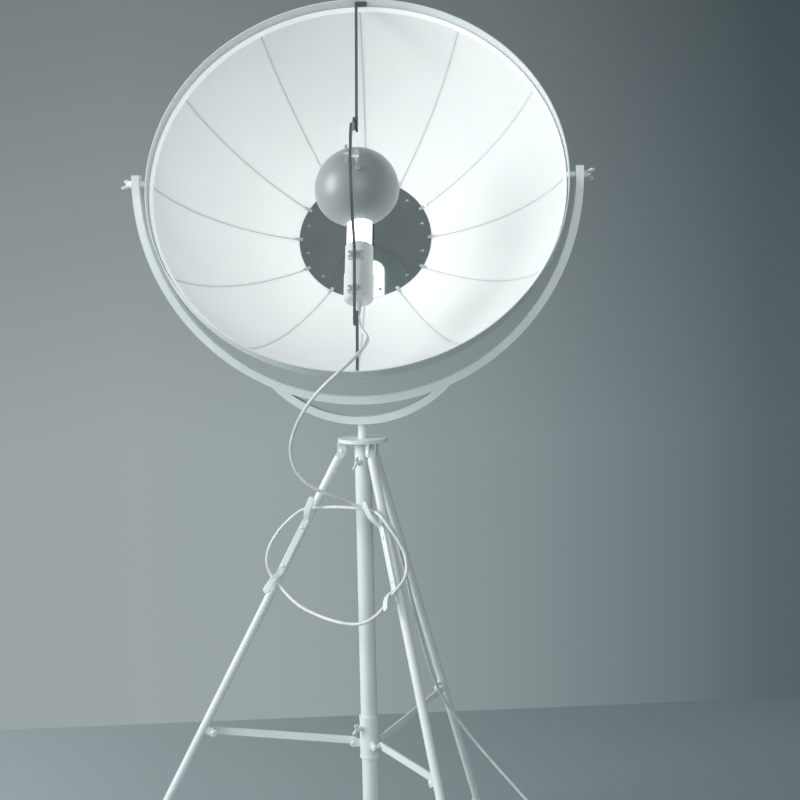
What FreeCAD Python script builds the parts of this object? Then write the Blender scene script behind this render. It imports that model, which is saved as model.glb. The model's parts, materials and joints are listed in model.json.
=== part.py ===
"""Tripod spotlight floor lamp: a pole on three folding legs, a telescopic stem with a
half-round yoke, and a large round fabric dish that tilts in it. Millimetres, +Z up,
origin on the floor under the pole. The dish opens towards -Y and tilts about the X axis.
"""
import math
import os

import FreeCAD
import Part

V = FreeCAD.Vector
os.makedirs("parts", exist_ok=True)

# ---- running clearances ----
FIT = 0.05              # radial play of a turning or sliding pair
GAP = 0.3               # space between faces that pass each other

# ---- tripod ----
PLATE_TOP_Z = 980.0     # height of the round head plate
PLATE_R = 50.0
PLATE_T = 8.0
POLE_R = 17.0
POLE_WALL = 1.5
POLE_BOTTOM_Z = 200.0
LEG_R = 9.0
LEG_WALL = 1.5
LEG_TILT = 27.7         # degrees from vertical, opened
LEG_AZIMUTHS = {"left": 180.0, "front": 295.0, "rear": 65.0}
LEG_SIDES = {"left": 1, "front": -1, "rear": 1}     # side of the leg that carries the lug
HINGE_R = 42.2          # hinge pin from the pole axis
HINGE_DROP = 26.0       # hinge pin under the top of the plate
HINGE_PIN_R = 3.0
EAR_T = 3.0
EAR_W = 18.0
TONGUE_T = 9.4
TONGUE_START = 14.0     # where the leg tube begins, along the leg from the pin
FOOT_R = 12.0
FOOT_LEN = 42.0
FOOT_TIP = 14.0         # rubber under the end of the tube

# ---- sliding sleeve and struts ----
SLEEVE_R = 20.0
SLEEVE_TOP_Z = 404.0
SLEEVE_BOTTOM_Z = 316.0
SLEEVE_LIP = 0.8
LUG_R = 33.5            # strut bolt from the pole axis
LUG_Z = 347.3
LUG_T = 4.0
LUG_W = 16.0
LUG_FACE = 2.0          # inner face of a lug from the plane of its leg
STRUT_FACE = 9.7        # inner face of a strut from the plane of its leg
STRUT_T = 4.0
STRUT_W = 15.0
STRUT_BOLT_R = 2.5
BOLT_ALONG_LEG = 648.0
BOLT_OFF_LEG = 22.3

# ---- stem and yoke ----
STEM_R = 9.0
STEM_WALL = 1.5
STEM_BOTTOM_Z = 380.0
STEM_FLANGE_R = 12.0
STEM_FLANGE_T = 4.0
STEM_CLEAR = 0.02       # under the brace, which turns on the flat end of the stem
GUIDE_LEN = 30.0
BUSH_LEN = 30.0
PIVOT_OVER_PLATE = 516.3
YOKE_R = 440.0          # middle of the bar
YOKE_RADIAL = 15.0
YOKE_DEPTH = 30.0
YOKE_WALL = 1.5
YOKE_HORN = 17.0        # straight part above the pivot
BRACE_R = 238.6
BRACE_BELOW = 480.3     # middle of the brace under the pivot

# ---- shade ----
SHADE_TILT = 27.5       # degrees above level
HOOP_R = 420.0
HOOP_DEPTH = 32.0
HOOP_T = 2.0
BLOCK_R = 6.5
PIVOT_BOLT_R = 4.0
DISH_R = 415.6          # outside of the fabric at its mouth
DISH_CLOTH = 1.2
DISH_MOUTH = 6.0        # mouth plane, behind the middle of the hoop
HUB_R = 141.3
HUB_BACK = 250.8        # mirror disc behind the middle of the hoop
HUB_T = 2.0
HUB_SCREWS = 12
RIB_R = 1.5
DISH_SPHERE = 465.3

# ---- cross bar, cap, holder and bulb; n is in front of the rim plane, v up along it ----
BAR_T = 5.0
BAR_DEPTH = 14.0
BAR_N = 2.0             # middle of the bar
BAR_ROLL = 0.9          # degrees that the bar leans in the rim plane
BAR_U = 0.5
BOW_N = 98.0            # middle of the bar where it bows round the cap
BOW_PATH = [(136, BAR_N), (112, 14), (96, 44), (74, 76), (40, 94), (0, BOW_N), (-40, 94),
            (-74, 79), (-104, 54), (-130, 22), (-152, BAR_N), (-316, BAR_N)]
BAR_JOINTS = (124.0, -303.0)    # overlaps of the bow with the two straight ends
BAR_LAP = 12.0
LAMP_N = -41.0          # bulb axis and middle of the cap
LAMP_U = 4.0
CAP_R = 85.0
CAP_T = 1.5
CAP_U = -2.0
NOTCH_R = 26.5
ROD_R = 3.0
ROD_U = 6.0
ROD_OUT = 114.0         # front end of the cap's threaded rod
CLAMP_BOLT_R = 2.5
CLAMP_BLOCK = 11.0
BULB_R = 24.8
BULB_TOP = 48.0
HOLDER_TOP = -129.0
HOLDER_STEP = -192.0
HOLDER_BOTTOM = -249.0
HOLDER_R = 28.0
HOLDER_LOW_R = 29.5
HOLDER_BORE_R = 21.0
HOLDER_SCREWS = (-162.0, -236.0)
GLAND_LEN = 26.0
GLAND_TIP_R = 3.9
RIVET_U = 14.0
BAR_FOOT_T = 3.2

# ---- cleats ----
CLEAT_W = 14.0
CLEAT_T = 3.0
CLEAT_TURN = {"left": 15.0, "front": 18.0}
CLEAT_PATH = [(108, 39.5), (128, 35), (144, 27), (157, 10.6), (283, 10.6),
              (287, 22), (298, 35), (320, 39.5)]
CLEAT_SCREWS = (176.0, 265.0)

# ---- cord ----
CORD_D = 7.0
COIL_C = (428.0, 78.0)
COIL_R0 = 47.5
COIL_TURNS = 6.0
COIL_LAYERS = 4
COIL_PITCH = 7.6        # from turn to turn, and from layer to layer
DROP = [(4, -90.75, 1233.15), (4, -101.9, 1211.8), (24, -124, 1192), (24, -164, 1180),
        (8, -204, 1162), (-25, -226, 1133), (-62, -223, 1100), (-95, -194, 1061),
        (-121, -157, 1015), (-133, -130, 972), (-124, -118, 929), (-92, -116, 897),
        (-49, -108, 878), (-22, -88, 862), (7, -89, 850), (22.2, -105.4, 846.9),
        (36.6, -123.1, 848.4), (58, -141, 822), (74, -147, 799), (81, -150.5, 786)]
LOOP = [(81, -150.5, 786), (88, -154, 773), (92, -164, 746), (86, -177, 725),
        (67.7, -186.6, 707.9), (53.9, -173.4, 682.9), (30, -171, 654), (-2, -163, 636),
        (-42, -146, 636), (-86, -114, 642), (-126, -76, 651), (-153, -46, 665),
        (-174.6, -24.9, 684.7), (-194.5, -15.7, 704.2), (-202, -13, 736), (-191, -13, 771),
        (-162, -14, 809), (-122.7, -14.8, 840.4), (-94.1, -22.4, 841.2), (-57, -44, 847),
        (-22, -62, 848), (13.4, -84.8, 848.6), (29.2, -104.1, 843.3), (43.1, -121.5, 840.5),
        (61, -123, 820), (70, -106, 795), (76, -84, 756), (79, -70, 738)]
RUN = [(79, -70, 738), (82, -56, 720), (88, -22, 679), (93, 16, 634), (100, 56, 586),
       (109, 98, 534), (117, 138, 484), (128, 176, 432), (142, 208, 387), (160, 236, 344),
       (185, 257, 302), (215, 268, 257), (253, 268, 210), (296, 260, 162), (341, 246, 113),
       (384, 231, 67), (420, 212, 29), (448, 187, 8), (466, 156, 3.5), (475.5, 122, 3.5),
       (475.5, 89, 3.5)]
TAIL_LEN = 58.0
PLUG_R = 18.0
PLUG_LEN = 44.0

NUT_REACH = 20.0        # how far the yoke's wing nuts stand out

PIVOT_Z = PLATE_TOP_Z + PIVOT_OVER_PLATE
HINGE_Z = PLATE_TOP_Z - HINGE_DROP
C0 = V(0, 0, PIVOT_Z)
SLOPE = math.radians(LEG_TILT)
FOOT_REACH = HINGE_R + HINGE_Z * math.tan(SLOPE) + FOOT_R / math.cos(SLOPE)
NUT_END = YOKE_R + YOKE_RADIAL / 2 + GAP + NUT_REACH
ORIGIN_X = (FOOT_REACH - NUT_END) / 2   # from the pole to the middle of the whole lamp


def export(name, shapes):
    """Write the solids of one piece, or of a group of like pieces, to a STEP file."""
    solids = []
    for shape in shapes:
        solids += shape.Solids
    bad = [s for s in solids if not s.isValid()]
    out = solids[0] if len(solids) == 1 else Part.makeCompound(solids)
    out.translate(V(ORIGIN_X, 0, 0))
    out.exportStep("parts/%s.step" % name)
    box = out.optimalBoundingBox(False)
    print("%-20s %2d solids %s vol %.0f  x %.1f..%.1f y %.1f..%.1f z %.1f..%.1f"
          % (name, len(solids), "BAD" if bad else "ok", out.Volume, box.XMin, box.XMax,
             box.YMin, box.YMax, box.ZMin, box.ZMax))


def cyl(radius, start, end):
    return Part.makeCylinder(radius, (end - start).Length, start, end - start)


def tube(outer, inner, start, end):
    along = (end - start).normalize()
    return cyl(outer, start, end).cut(cyl(inner, start - along, end + along))


def framed(shape, origin, x_dir, z_dir):
    """Move a shape drawn about the origin into the frame of two unit vectors at right angles."""
    y_dir = z_dir.cross(x_dir)
    matrix = FreeCAD.Matrix(x_dir.x, y_dir.x, z_dir.x, origin.x,
                            x_dir.y, y_dir.y, z_dir.y, origin.y,
                            x_dir.z, y_dir.z, z_dir.z, origin.z, 0, 0, 0, 1)
    moved = shape.copy()
    moved.Placement = FreeCAD.Placement(matrix).multiply(moved.Placement)
    return moved


def strip(points, thick, low, high):
    """Flat strip that follows points in the XY plane, thick across them, from z low to high."""
    out = None
    for (x0, y0), (x1, y1) in zip(points[:-1], points[1:]):
        length = math.hypot(x1 - x0, y1 - y0)
        bar = Part.makeBox(length, thick, high - low, V(0, -thick / 2, low))
        bar.rotate(V(0, 0, 0), V(0, 0, 1), math.degrees(math.atan2(y1 - y0, x1 - x0)))
        bar.translate(V(x0, y0, 0))
        out = bar if out is None else out.fuse(bar)
    for x, y in points[1:-1]:
        out = out.fuse(Part.makeCylinder(thick / 2, high - low, V(x, y, low), V(0, 0, 1)))
    return out.removeSplitter()


def link(length, width, thick, hole):
    """Flat bar with round ends about two holes, along +X, lying on z = 0."""
    bar = Part.makeBox(length, width, thick, V(0, -width / 2, 0))
    for x in (0, length):
        bar = bar.fuse(Part.makeCylinder(width / 2, thick, V(x, 0, 0)))
    for x in (0, length):
        bar = bar.cut(Part.makeCylinder(hole, thick + 2, V(x, 0, -1)))
    return bar.removeSplitter()


def dome_head(radius, height, shank_r, shank_len):
    """Screw along -Z: a low domed head over z = 0 and a shank under it."""
    sphere_r = (radius ** 2 + height ** 2) / (2 * height)
    ball = Part.makeSphere(sphere_r, V(0, 0, height - sphere_r))
    head = ball.common(Part.makeCylinder(radius + 1, height + 1))
    return head.fuse(Part.makeCylinder(shank_r, shank_len, V(0, 0, -shank_len))).removeSplitter()


def wing_nut(bore, hub_r, hub_len, span, reach, thick):
    """Wing nut along +Z from z = 0: a tapered hub and two wings that lean outwards."""
    hub = Part.makeCone(hub_r, hub_r * 0.72, hub_len)
    outline = [V(hub_r * 0.4, 0, 1.5), V(hub_r * 0.9, 0, 1.5), V(span, 0, reach - 5),
               V(span - 1.5, 0, reach), V(span - 6, 0, reach), V(hub_r * 0.4, 0, hub_len)]
    wing = Part.Face(Part.makePolygon(outline + outline[:1])).extrude(V(0, thick, 0))
    wing.translate(V(0, -thick / 2, 0))
    other = wing.copy()
    other.rotate(V(0, 0, 0), V(0, 0, 1), 180)
    body = hub.fuse([wing, other])
    return body.cut(Part.makeCylinder(bore, reach * 3, V(0, 0, -reach))).removeSplitter()


def wing_screw(shank_r, shank_len, neck_r, neck_len, span, thick):
    """Thumbscrew along +Z: shank up to z = 0, a collar, and a flat two-winged grip."""
    body = Part.makeCylinder(shank_r, shank_len, V(0, 0, -shank_len))
    body = body.fuse(Part.makeCylinder(neck_r, neck_len))
    outline = [V(-3.2, 0, neck_len - 2), V(3.2, 0, neck_len - 2), V(span, 0, neck_len + 1.5),
               V(span, 0, neck_len + 8), V(span - 3, 0, neck_len + 10.5),
               V(3.5, 0, neck_len + 5.5), V(-3.5, 0, neck_len + 5.5),
               V(3 - span, 0, neck_len + 10.5), V(-span, 0, neck_len + 8),
               V(-span, 0, neck_len + 1.5)]
    grip = Part.Face(Part.makePolygon(outline + outline[:1])).extrude(V(0, thick, 0))
    grip.translate(V(0, -thick / 2, 0))
    return body.fuse(grip).removeSplitter()


# ---- frames of the legs and of the shade ----
def polar(azimuth):
    rad = math.radians(azimuth)
    return V(math.cos(rad), math.sin(rad), 0), V(-math.sin(rad), math.cos(rad), 0)


def leg_frame(name):
    """Hinge point, direction down the leg, its outer side, and its tangent with the lug's side."""
    radial, tangent = polar(LEG_AZIMUTHS[name])
    tilt = math.radians(LEG_TILT)
    down = radial * math.sin(tilt) + V(0, 0, -math.cos(tilt))
    outer = radial * math.cos(tilt) + V(0, 0, math.sin(tilt))
    return radial * HINGE_R + V(0, 0, HINGE_Z), down, outer, tangent * LEG_SIDES[name]


def leg_bolt(name):
    hinge, down, outer, _ = leg_frame(name)
    return hinge + down * BOLT_ALONG_LEG - outer * BOLT_OFF_LEG


def sleeve_bolt(name):
    radial, _ = polar(LEG_AZIMUTHS[name])
    return radial * LUG_R + V(0, 0, LUG_Z)


def tilted(shape):
    """Put a piece drawn with the rim plane upright, opening towards -Y, about the pivot."""
    turned = shape.copy()
    turned.rotate(V(0, 0, 0), V(1, 0, 0), -SHADE_TILT)
    turned.translate(C0)
    return turned


# ---- tripod pieces ----
def clamp_axes():
    """Directions of the two thumbscrews, from the pole outwards."""
    return polar(247.0)[0], polar(222.0)[0]


def build_post():
    top = PLATE_TOP_Z
    under = top - PLATE_T
    plate = Part.makeCylinder(PLATE_R, PLATE_T, V(0, 0, under))
    plate = plate.makeChamfer(0.8, [plate.Edges[0], plate.Edges[2]])
    plate = plate.cut(Part.makeCylinder(STEM_R + FIT + 0.25, PLATE_T + 2, V(0, 0, under - 1)))
    export("head_plate", [plate])

    clevises = []
    pins = []
    for name in LEG_AZIMUTHS:
        radial, tangent = polar(LEG_AZIMUTHS[name])
        hinge = leg_frame(name)[0]
        inner = TONGUE_T / 2 + GAP
        for side in (-1, 1):
            ear = Part.makeBox(EAR_W, HINGE_DROP - PLATE_T, EAR_T, V(-EAR_W / 2, 0, 0))
            ear = ear.fuse(Part.makeCylinder(EAR_W / 2, EAR_T))
            ear = ear.cut(Part.makeCylinder(HINGE_PIN_R, EAR_T + 2, V(0, 0, -1)))
            out = tangent * side
            base = hinge + out * inner
            clevises.append(framed(ear.removeSplitter(), base, V(0, 0, 1).cross(out), out))
        reach = inner + EAR_T
        pin = cyl(HINGE_PIN_R, hinge - tangent * reach, hinge + tangent * reach)
        for side in (-1, 1):
            head = dome_head(5.0, 2.6, HINGE_PIN_R, 1.0)
            out = tangent * side
            pin = pin.fuse(framed(head, hinge + out * reach, radial, out))
        pins.append(pin.removeSplitter())
    export("leg_clevises", clevises)
    export("leg_hinge_pins", pins)

    pole = tube(POLE_R, POLE_R - POLE_WALL, V(0, 0, POLE_BOTTOM_Z), V(0, 0, under))
    out = clamp_axes()[0]
    z_clamp = V(0, 0, top - 48.0)
    boss = cyl(6.5, out * (POLE_R - 1.0) + z_clamp, out * (POLE_R + 4.0) + z_clamp)
    boss = boss.cut(cyl(POLE_R - POLE_WALL, V(0, 0, top - 80), V(0, 0, top - 20)))
    pole = pole.fuse(boss).cut(cyl(3.0 + FIT, out * 2 + z_clamp, out * 40 + z_clamp))
    export("pole_tube", [pole.removeSplitter()])

    plug = Part.makeCylinder(POLE_R, 4, V(0, 0, POLE_BOTTOM_Z - 4))
    plug = plug.makeFillet(2.0, [plug.Edges[2]])
    plug = plug.fuse(Part.makeCylinder(POLE_R - POLE_WALL, 18, V(0, 0, POLE_BOTTOM_Z)))
    export("pole_end_plug", [plug.removeSplitter()])

    bush = tube(POLE_R - POLE_WALL, STEM_R + FIT, V(0, 0, under - BUSH_LEN), V(0, 0, under))
    export("stem_bush", [bush])

    screw = wing_screw(3.0, POLE_R + 4.2 - STEM_R - GAP, 5.0, 8.0, 14.0, 2.6)
    place = out * (POLE_R + 4.0 + GAP) + z_clamp
    grip = FreeCAD.Rotation(out, -19).multVec(V(0, 0, 1))
    export("pole_thumbscrew", [framed(screw, place, grip, out)])


def build_leg(name):
    hinge, down, outer, side = leg_frame(name)
    across = down.cross(outer)
    length = HINGE_Z / math.cos(math.radians(LEG_TILT))
    tube_end = length - FOOT_TIP - FOOT_R * math.tan(math.radians(LEG_TILT))
    leg = tube(LEG_R, LEG_R - LEG_WALL, hinge + down * TONGUE_START, hinge + down * tube_end)

    tongue = Part.makeBox(TONGUE_START, 16, TONGUE_T, V(0, -8, -TONGUE_T / 2))
    tongue = tongue.fuse(Part.makeCylinder(8, TONGUE_T, V(0, 0, -TONGUE_T / 2)))
    tongue = tongue.fuse(Part.makeCylinder(LEG_R - LEG_WALL, 22, V(TONGUE_START, 0, 0),
                                           V(1, 0, 0)))
    tongue = tongue.cut(Part.makeCylinder(HINGE_PIN_R + FIT, 40, V(0, 0, -20)))
    tongue = framed(tongue.removeSplitter(), hinge, down, across)

    bolt = leg_bolt(name)
    ear = Part.makeBox(BOLT_OFF_LEG, LUG_W, LUG_T, V(-BOLT_OFF_LEG, -LUG_W / 2, 0))
    ear = ear.fuse(Part.makeCylinder(LUG_W / 2, LUG_T))
    ear = framed(ear, bolt + side * LUG_FACE, outer * -1, side)
    ear = ear.cut(cyl(LEG_R, hinge + down * 500, hinge + down * 800))
    shank = cyl(STRUT_BOLT_R, bolt + side * (LUG_FACE + LUG_T), bolt - side * (STRUT_FACE - GAP))
    spacer = cyl(5.0, bolt + side * LUG_FACE, bolt - side * (STRUT_FACE - GAP))
    head = framed(dome_head(5.2, 2.4, STRUT_BOLT_R, 1.0), bolt + side * (LUG_FACE + LUG_T),
                  down, side)
    lug = ear.fuse([shank, spacer, head]).removeSplitter()
    export("leg_fittings_" + name, [tongue, lug])

    foot_from = tube_end - (FOOT_LEN - FOOT_TIP)
    foot = cyl(FOOT_R, hinge + down * foot_from, hinge + down * (length + 20))
    ring = [e for e in foot.Edges if abs(e.BoundBox.ZMax - foot.BoundBox.ZMax) < 0.01
            and len(e.Vertexes) == 1]
    foot = foot.makeFillet(1.5, ring[:1])
    foot = foot.cut(cyl(LEG_R, hinge + down * (foot_from - 5), hinge + down * tube_end))
    foot = foot.cut(Part.makeBox(4000, 4000, 400, V(-2000, -2000, -400)))
    export("foot_" + name, [foot])

    if name in CLEAT_TURN:
        turn = math.radians(CLEAT_TURN[name])
        face = side * math.cos(turn) + outer * math.sin(turn)
        wide = down.cross(face)
        strap = framed(strip(CLEAT_PATH, CLEAT_T, -CLEAT_W / 2, CLEAT_W / 2), hinge, down, wide)
        strap = strap.cut(cyl(LEG_R, hinge + down * 140, hinge + down * 300))
        screws = []
        top = CLEAT_PATH[3][1] + CLEAT_T / 2
        for along in CLEAT_SCREWS:
            screw = dome_head(4.6, 2.2, 2.0, CLEAT_T + LEG_WALL + 1.5)
            screw = framed(screw, hinge + down * along + face * top, down, face)
            screws.append(screw)
            strap = strap.cut(screw)
            leg = leg.cut(screw)
        export("cleat_" + name, [strap])
        export("cleat_screws_" + name, screws)
    export("leg_tube_" + name, [leg])


def build_sleeve():
    sleeve = tube(SLEEVE_R, POLE_R + FIT, V(0, 0, SLEEVE_BOTTOM_Z), V(0, 0, SLEEVE_TOP_Z))
    for z in (SLEEVE_BOTTOM_Z, SLEEVE_TOP_Z - 5):
        sleeve = sleeve.fuse(tube(SLEEVE_R + SLEEVE_LIP, POLE_R + FIT, V(0, 0, z), V(0, 0, z + 5)))
    out = clamp_axes()[1]
    z_screw = V(0, 0, SLEEVE_TOP_Z - 23)
    sleeve = sleeve.fuse(cyl(6.0, out * (SLEEVE_R - 1.5) + z_screw, out * (SLEEVE_R + 3) + z_screw))
    sleeve = sleeve.cut(cyl(3.0 + FIT, out * 8 + z_screw, out * 40 + z_screw))
    sleeve = sleeve.cut(cyl(POLE_R + FIT, V(0, 0, SLEEVE_BOTTOM_Z - 1), V(0, 0, SLEEVE_TOP_Z + 1)))
    export("sleeve", [sleeve.removeSplitter()])

    screw = wing_screw(3.0, SLEEVE_R + 3.0 - POLE_R, 4.6, 8.0, 12.5, 2.4)
    place = out * (SLEEVE_R + 3 + GAP) + z_screw
    grip = FreeCAD.Rotation(out, -22).multVec(V(0, 0, 1))
    export("sleeve_thumbscrew", [framed(screw, place, grip, out)])

    lugs = []
    bolts = []
    for name in LEG_AZIMUTHS:
        radial, _ = polar(LEG_AZIMUTHS[name])
        side = leg_frame(name)[3]
        bolt = sleeve_bolt(name)
        ear = Part.makeBox(LUG_R, LUG_W, LUG_T, V(-LUG_R, -LUG_W / 2, 0))
        ear = ear.fuse(Part.makeCylinder(LUG_W / 2, LUG_T))
        ear = ear.cut(Part.makeCylinder(STRUT_BOLT_R, LUG_T + 2, V(0, 0, -1)))
        ear = framed(ear, bolt + side * LUG_FACE, radial, side)
        ear = ear.cut(cyl(SLEEVE_R, V(0, 0, LUG_Z - 30), V(0, 0, LUG_Z + 30)))
        lugs.append(ear.removeSplitter())
        shank = cyl(STRUT_BOLT_R, bolt + side * (LUG_FACE + LUG_T),
                    bolt - side * (STRUT_FACE + STRUT_T + GAP))
        spacer = cyl(5.0, bolt + side * LUG_FACE, bolt - side * (STRUT_FACE - GAP))
        head = framed(dome_head(5.2, 2.4, STRUT_BOLT_R, 1.0), bolt + side * (LUG_FACE + LUG_T),
                      radial, side)
        far = bolt - side * (STRUT_FACE + STRUT_T + GAP)
        tail = framed(dome_head(5.2, 2.4, STRUT_BOLT_R, 0.2), far, radial, side * -1)
        bolts.append(shank.fuse([spacer, head, tail]).removeSplitter())
    export("sleeve_lugs", lugs)
    export("sleeve_strut_bolts", bolts)


def build_strut(name):
    side = leg_frame(name)[3]
    start = sleeve_bolt(name)
    end = leg_bolt(name)
    along = (end - start).normalize()
    length = (leg_bolt(name) - sleeve_bolt(name)).Length
    bar = link(length, STRUT_W, STRUT_T, STRUT_BOLT_R + FIT)
    bar = framed(bar, start - side * STRUT_FACE, along, side * -1)
    nut = framed(dome_head(5.2, 2.4, STRUT_BOLT_R + FIT, STRUT_T),
                 end - side * (STRUT_FACE + STRUT_T), along, side * -1)
    export("strut_" + name, [bar, nut])


# ---- stem and yoke ----
def build_yoke():
    def bar(radial, depth, horn):
        outer = YOKE_R + radial / 2
        inner = YOKE_R - radial / 2
        ring = Part.makeCylinder(outer, depth, V(0, -depth / 2, 0), V(0, 1, 0))
        ring = ring.cut(Part.makeCylinder(inner, depth + 2, V(0, -depth / 2 - 1, 0), V(0, 1, 0)))
        ring = ring.cut(Part.makeBox(2000, 200, 1000, V(-1000, -100, 0)))
        arms = [Part.makeBox(radial, depth, horn, V(x - radial / 2, -depth / 2, 0))
                for x in (-YOKE_R, YOKE_R)]
        return ring.fuse(arms).removeSplitter()

    hollow = bar(YOKE_RADIAL - 2 * YOKE_WALL, YOKE_DEPTH - 2 * YOKE_WALL, YOKE_HORN - YOKE_WALL)
    arc = bar(YOKE_RADIAL, YOKE_DEPTH, YOKE_HORN)
    arc = arc.cut(hollow)
    for x in (-YOKE_R, YOKE_R):
        arc = arc.fuse(tube(PIVOT_BOLT_R + 3, PIVOT_BOLT_R + FIT, V(x - YOKE_RADIAL / 2 + 0.5, 0, 0),
                            V(x + YOKE_RADIAL / 2 - 0.5, 0, 0)))
        arc = arc.cut(cyl(PIVOT_BOLT_R + FIT, V(x - 20, 0, 0), V(x + 20, 0, 0)))
    arc.translate(C0)
    export("yoke_arc", [arc.removeSplitter()])

    drop = BRACE_R - BRACE_BELOW
    centre = V(0, 0, drop)

    def ring(radial, depth):
        outer = Part.makeCylinder(BRACE_R + radial / 2, depth, centre + V(0, -depth / 2, 0),
                                  V(0, 1, 0))
        inner = Part.makeCylinder(BRACE_R - radial / 2, depth + 2,
                                  centre + V(0, -depth / 2 - 1, 0), V(0, 1, 0))
        return outer.cut(inner)

    shell = ring(YOKE_RADIAL, YOKE_DEPTH)
    shell = shell.cut(ring(YOKE_RADIAL - 2 * YOKE_WALL, YOKE_DEPTH - 2 * YOKE_WALL))
    shell = shell.cut(Part.makeCylinder(YOKE_R + YOKE_RADIAL / 2, 200, V(0, -100, 0), V(0, 1, 0)))
    low = [s for s in shell.Solids if s.BoundBox.ZMin < -YOKE_R]
    brace = max(low, key=lambda s: s.Volume)
    brace.translate(C0)
    export("yoke_brace", [brace])

    stem_top = PIVOT_Z - BRACE_BELOW - YOKE_RADIAL / 2 - STEM_CLEAR
    stem = tube(STEM_R, STEM_R - STEM_WALL, V(0, 0, STEM_BOTTOM_Z), V(0, 0, stem_top))
    flange = tube(STEM_FLANGE_R, 4.0, V(0, 0, STEM_BOTTOM_Z - STEM_FLANGE_T),
                  V(0, 0, STEM_BOTTOM_Z))
    export("stem_tube", [stem.fuse(flange).removeSplitter()])

    guide = tube(POLE_R - POLE_WALL - FIT, STEM_R + FIT, V(0, 0, STEM_BOTTOM_Z + 0.2),
                 V(0, 0, STEM_BOTTOM_Z + 0.2 + GUIDE_LEN))
    export("stem_guide", [guide])

    for name, sign in (("left", -1), ("right", 1)):
        nut = wing_nut(PIVOT_BOLT_R + FIT, 8.5, 10.0, 19.0, NUT_REACH, 3.0)
        out = V(sign, 0, 0)
        lean = FreeCAD.Rotation(out, 62.0 if sign < 0 else 58.0)
        up = lean.multVec(V(0, 0, 1))
        place = C0 + out * (YOKE_R + YOKE_RADIAL / 2 + GAP)
        export("wing_nut_" + name, [framed(nut, place, up, out)])


# ---- shade ----
def dish_point(radius):
    """Y of the dish at a radius, on the sphere that its ribs follow."""
    centre = HUB_BACK - math.sqrt(DISH_SPHERE ** 2 - HUB_R ** 2)
    return centre + math.sqrt(DISH_SPHERE ** 2 - radius ** 2)


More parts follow.
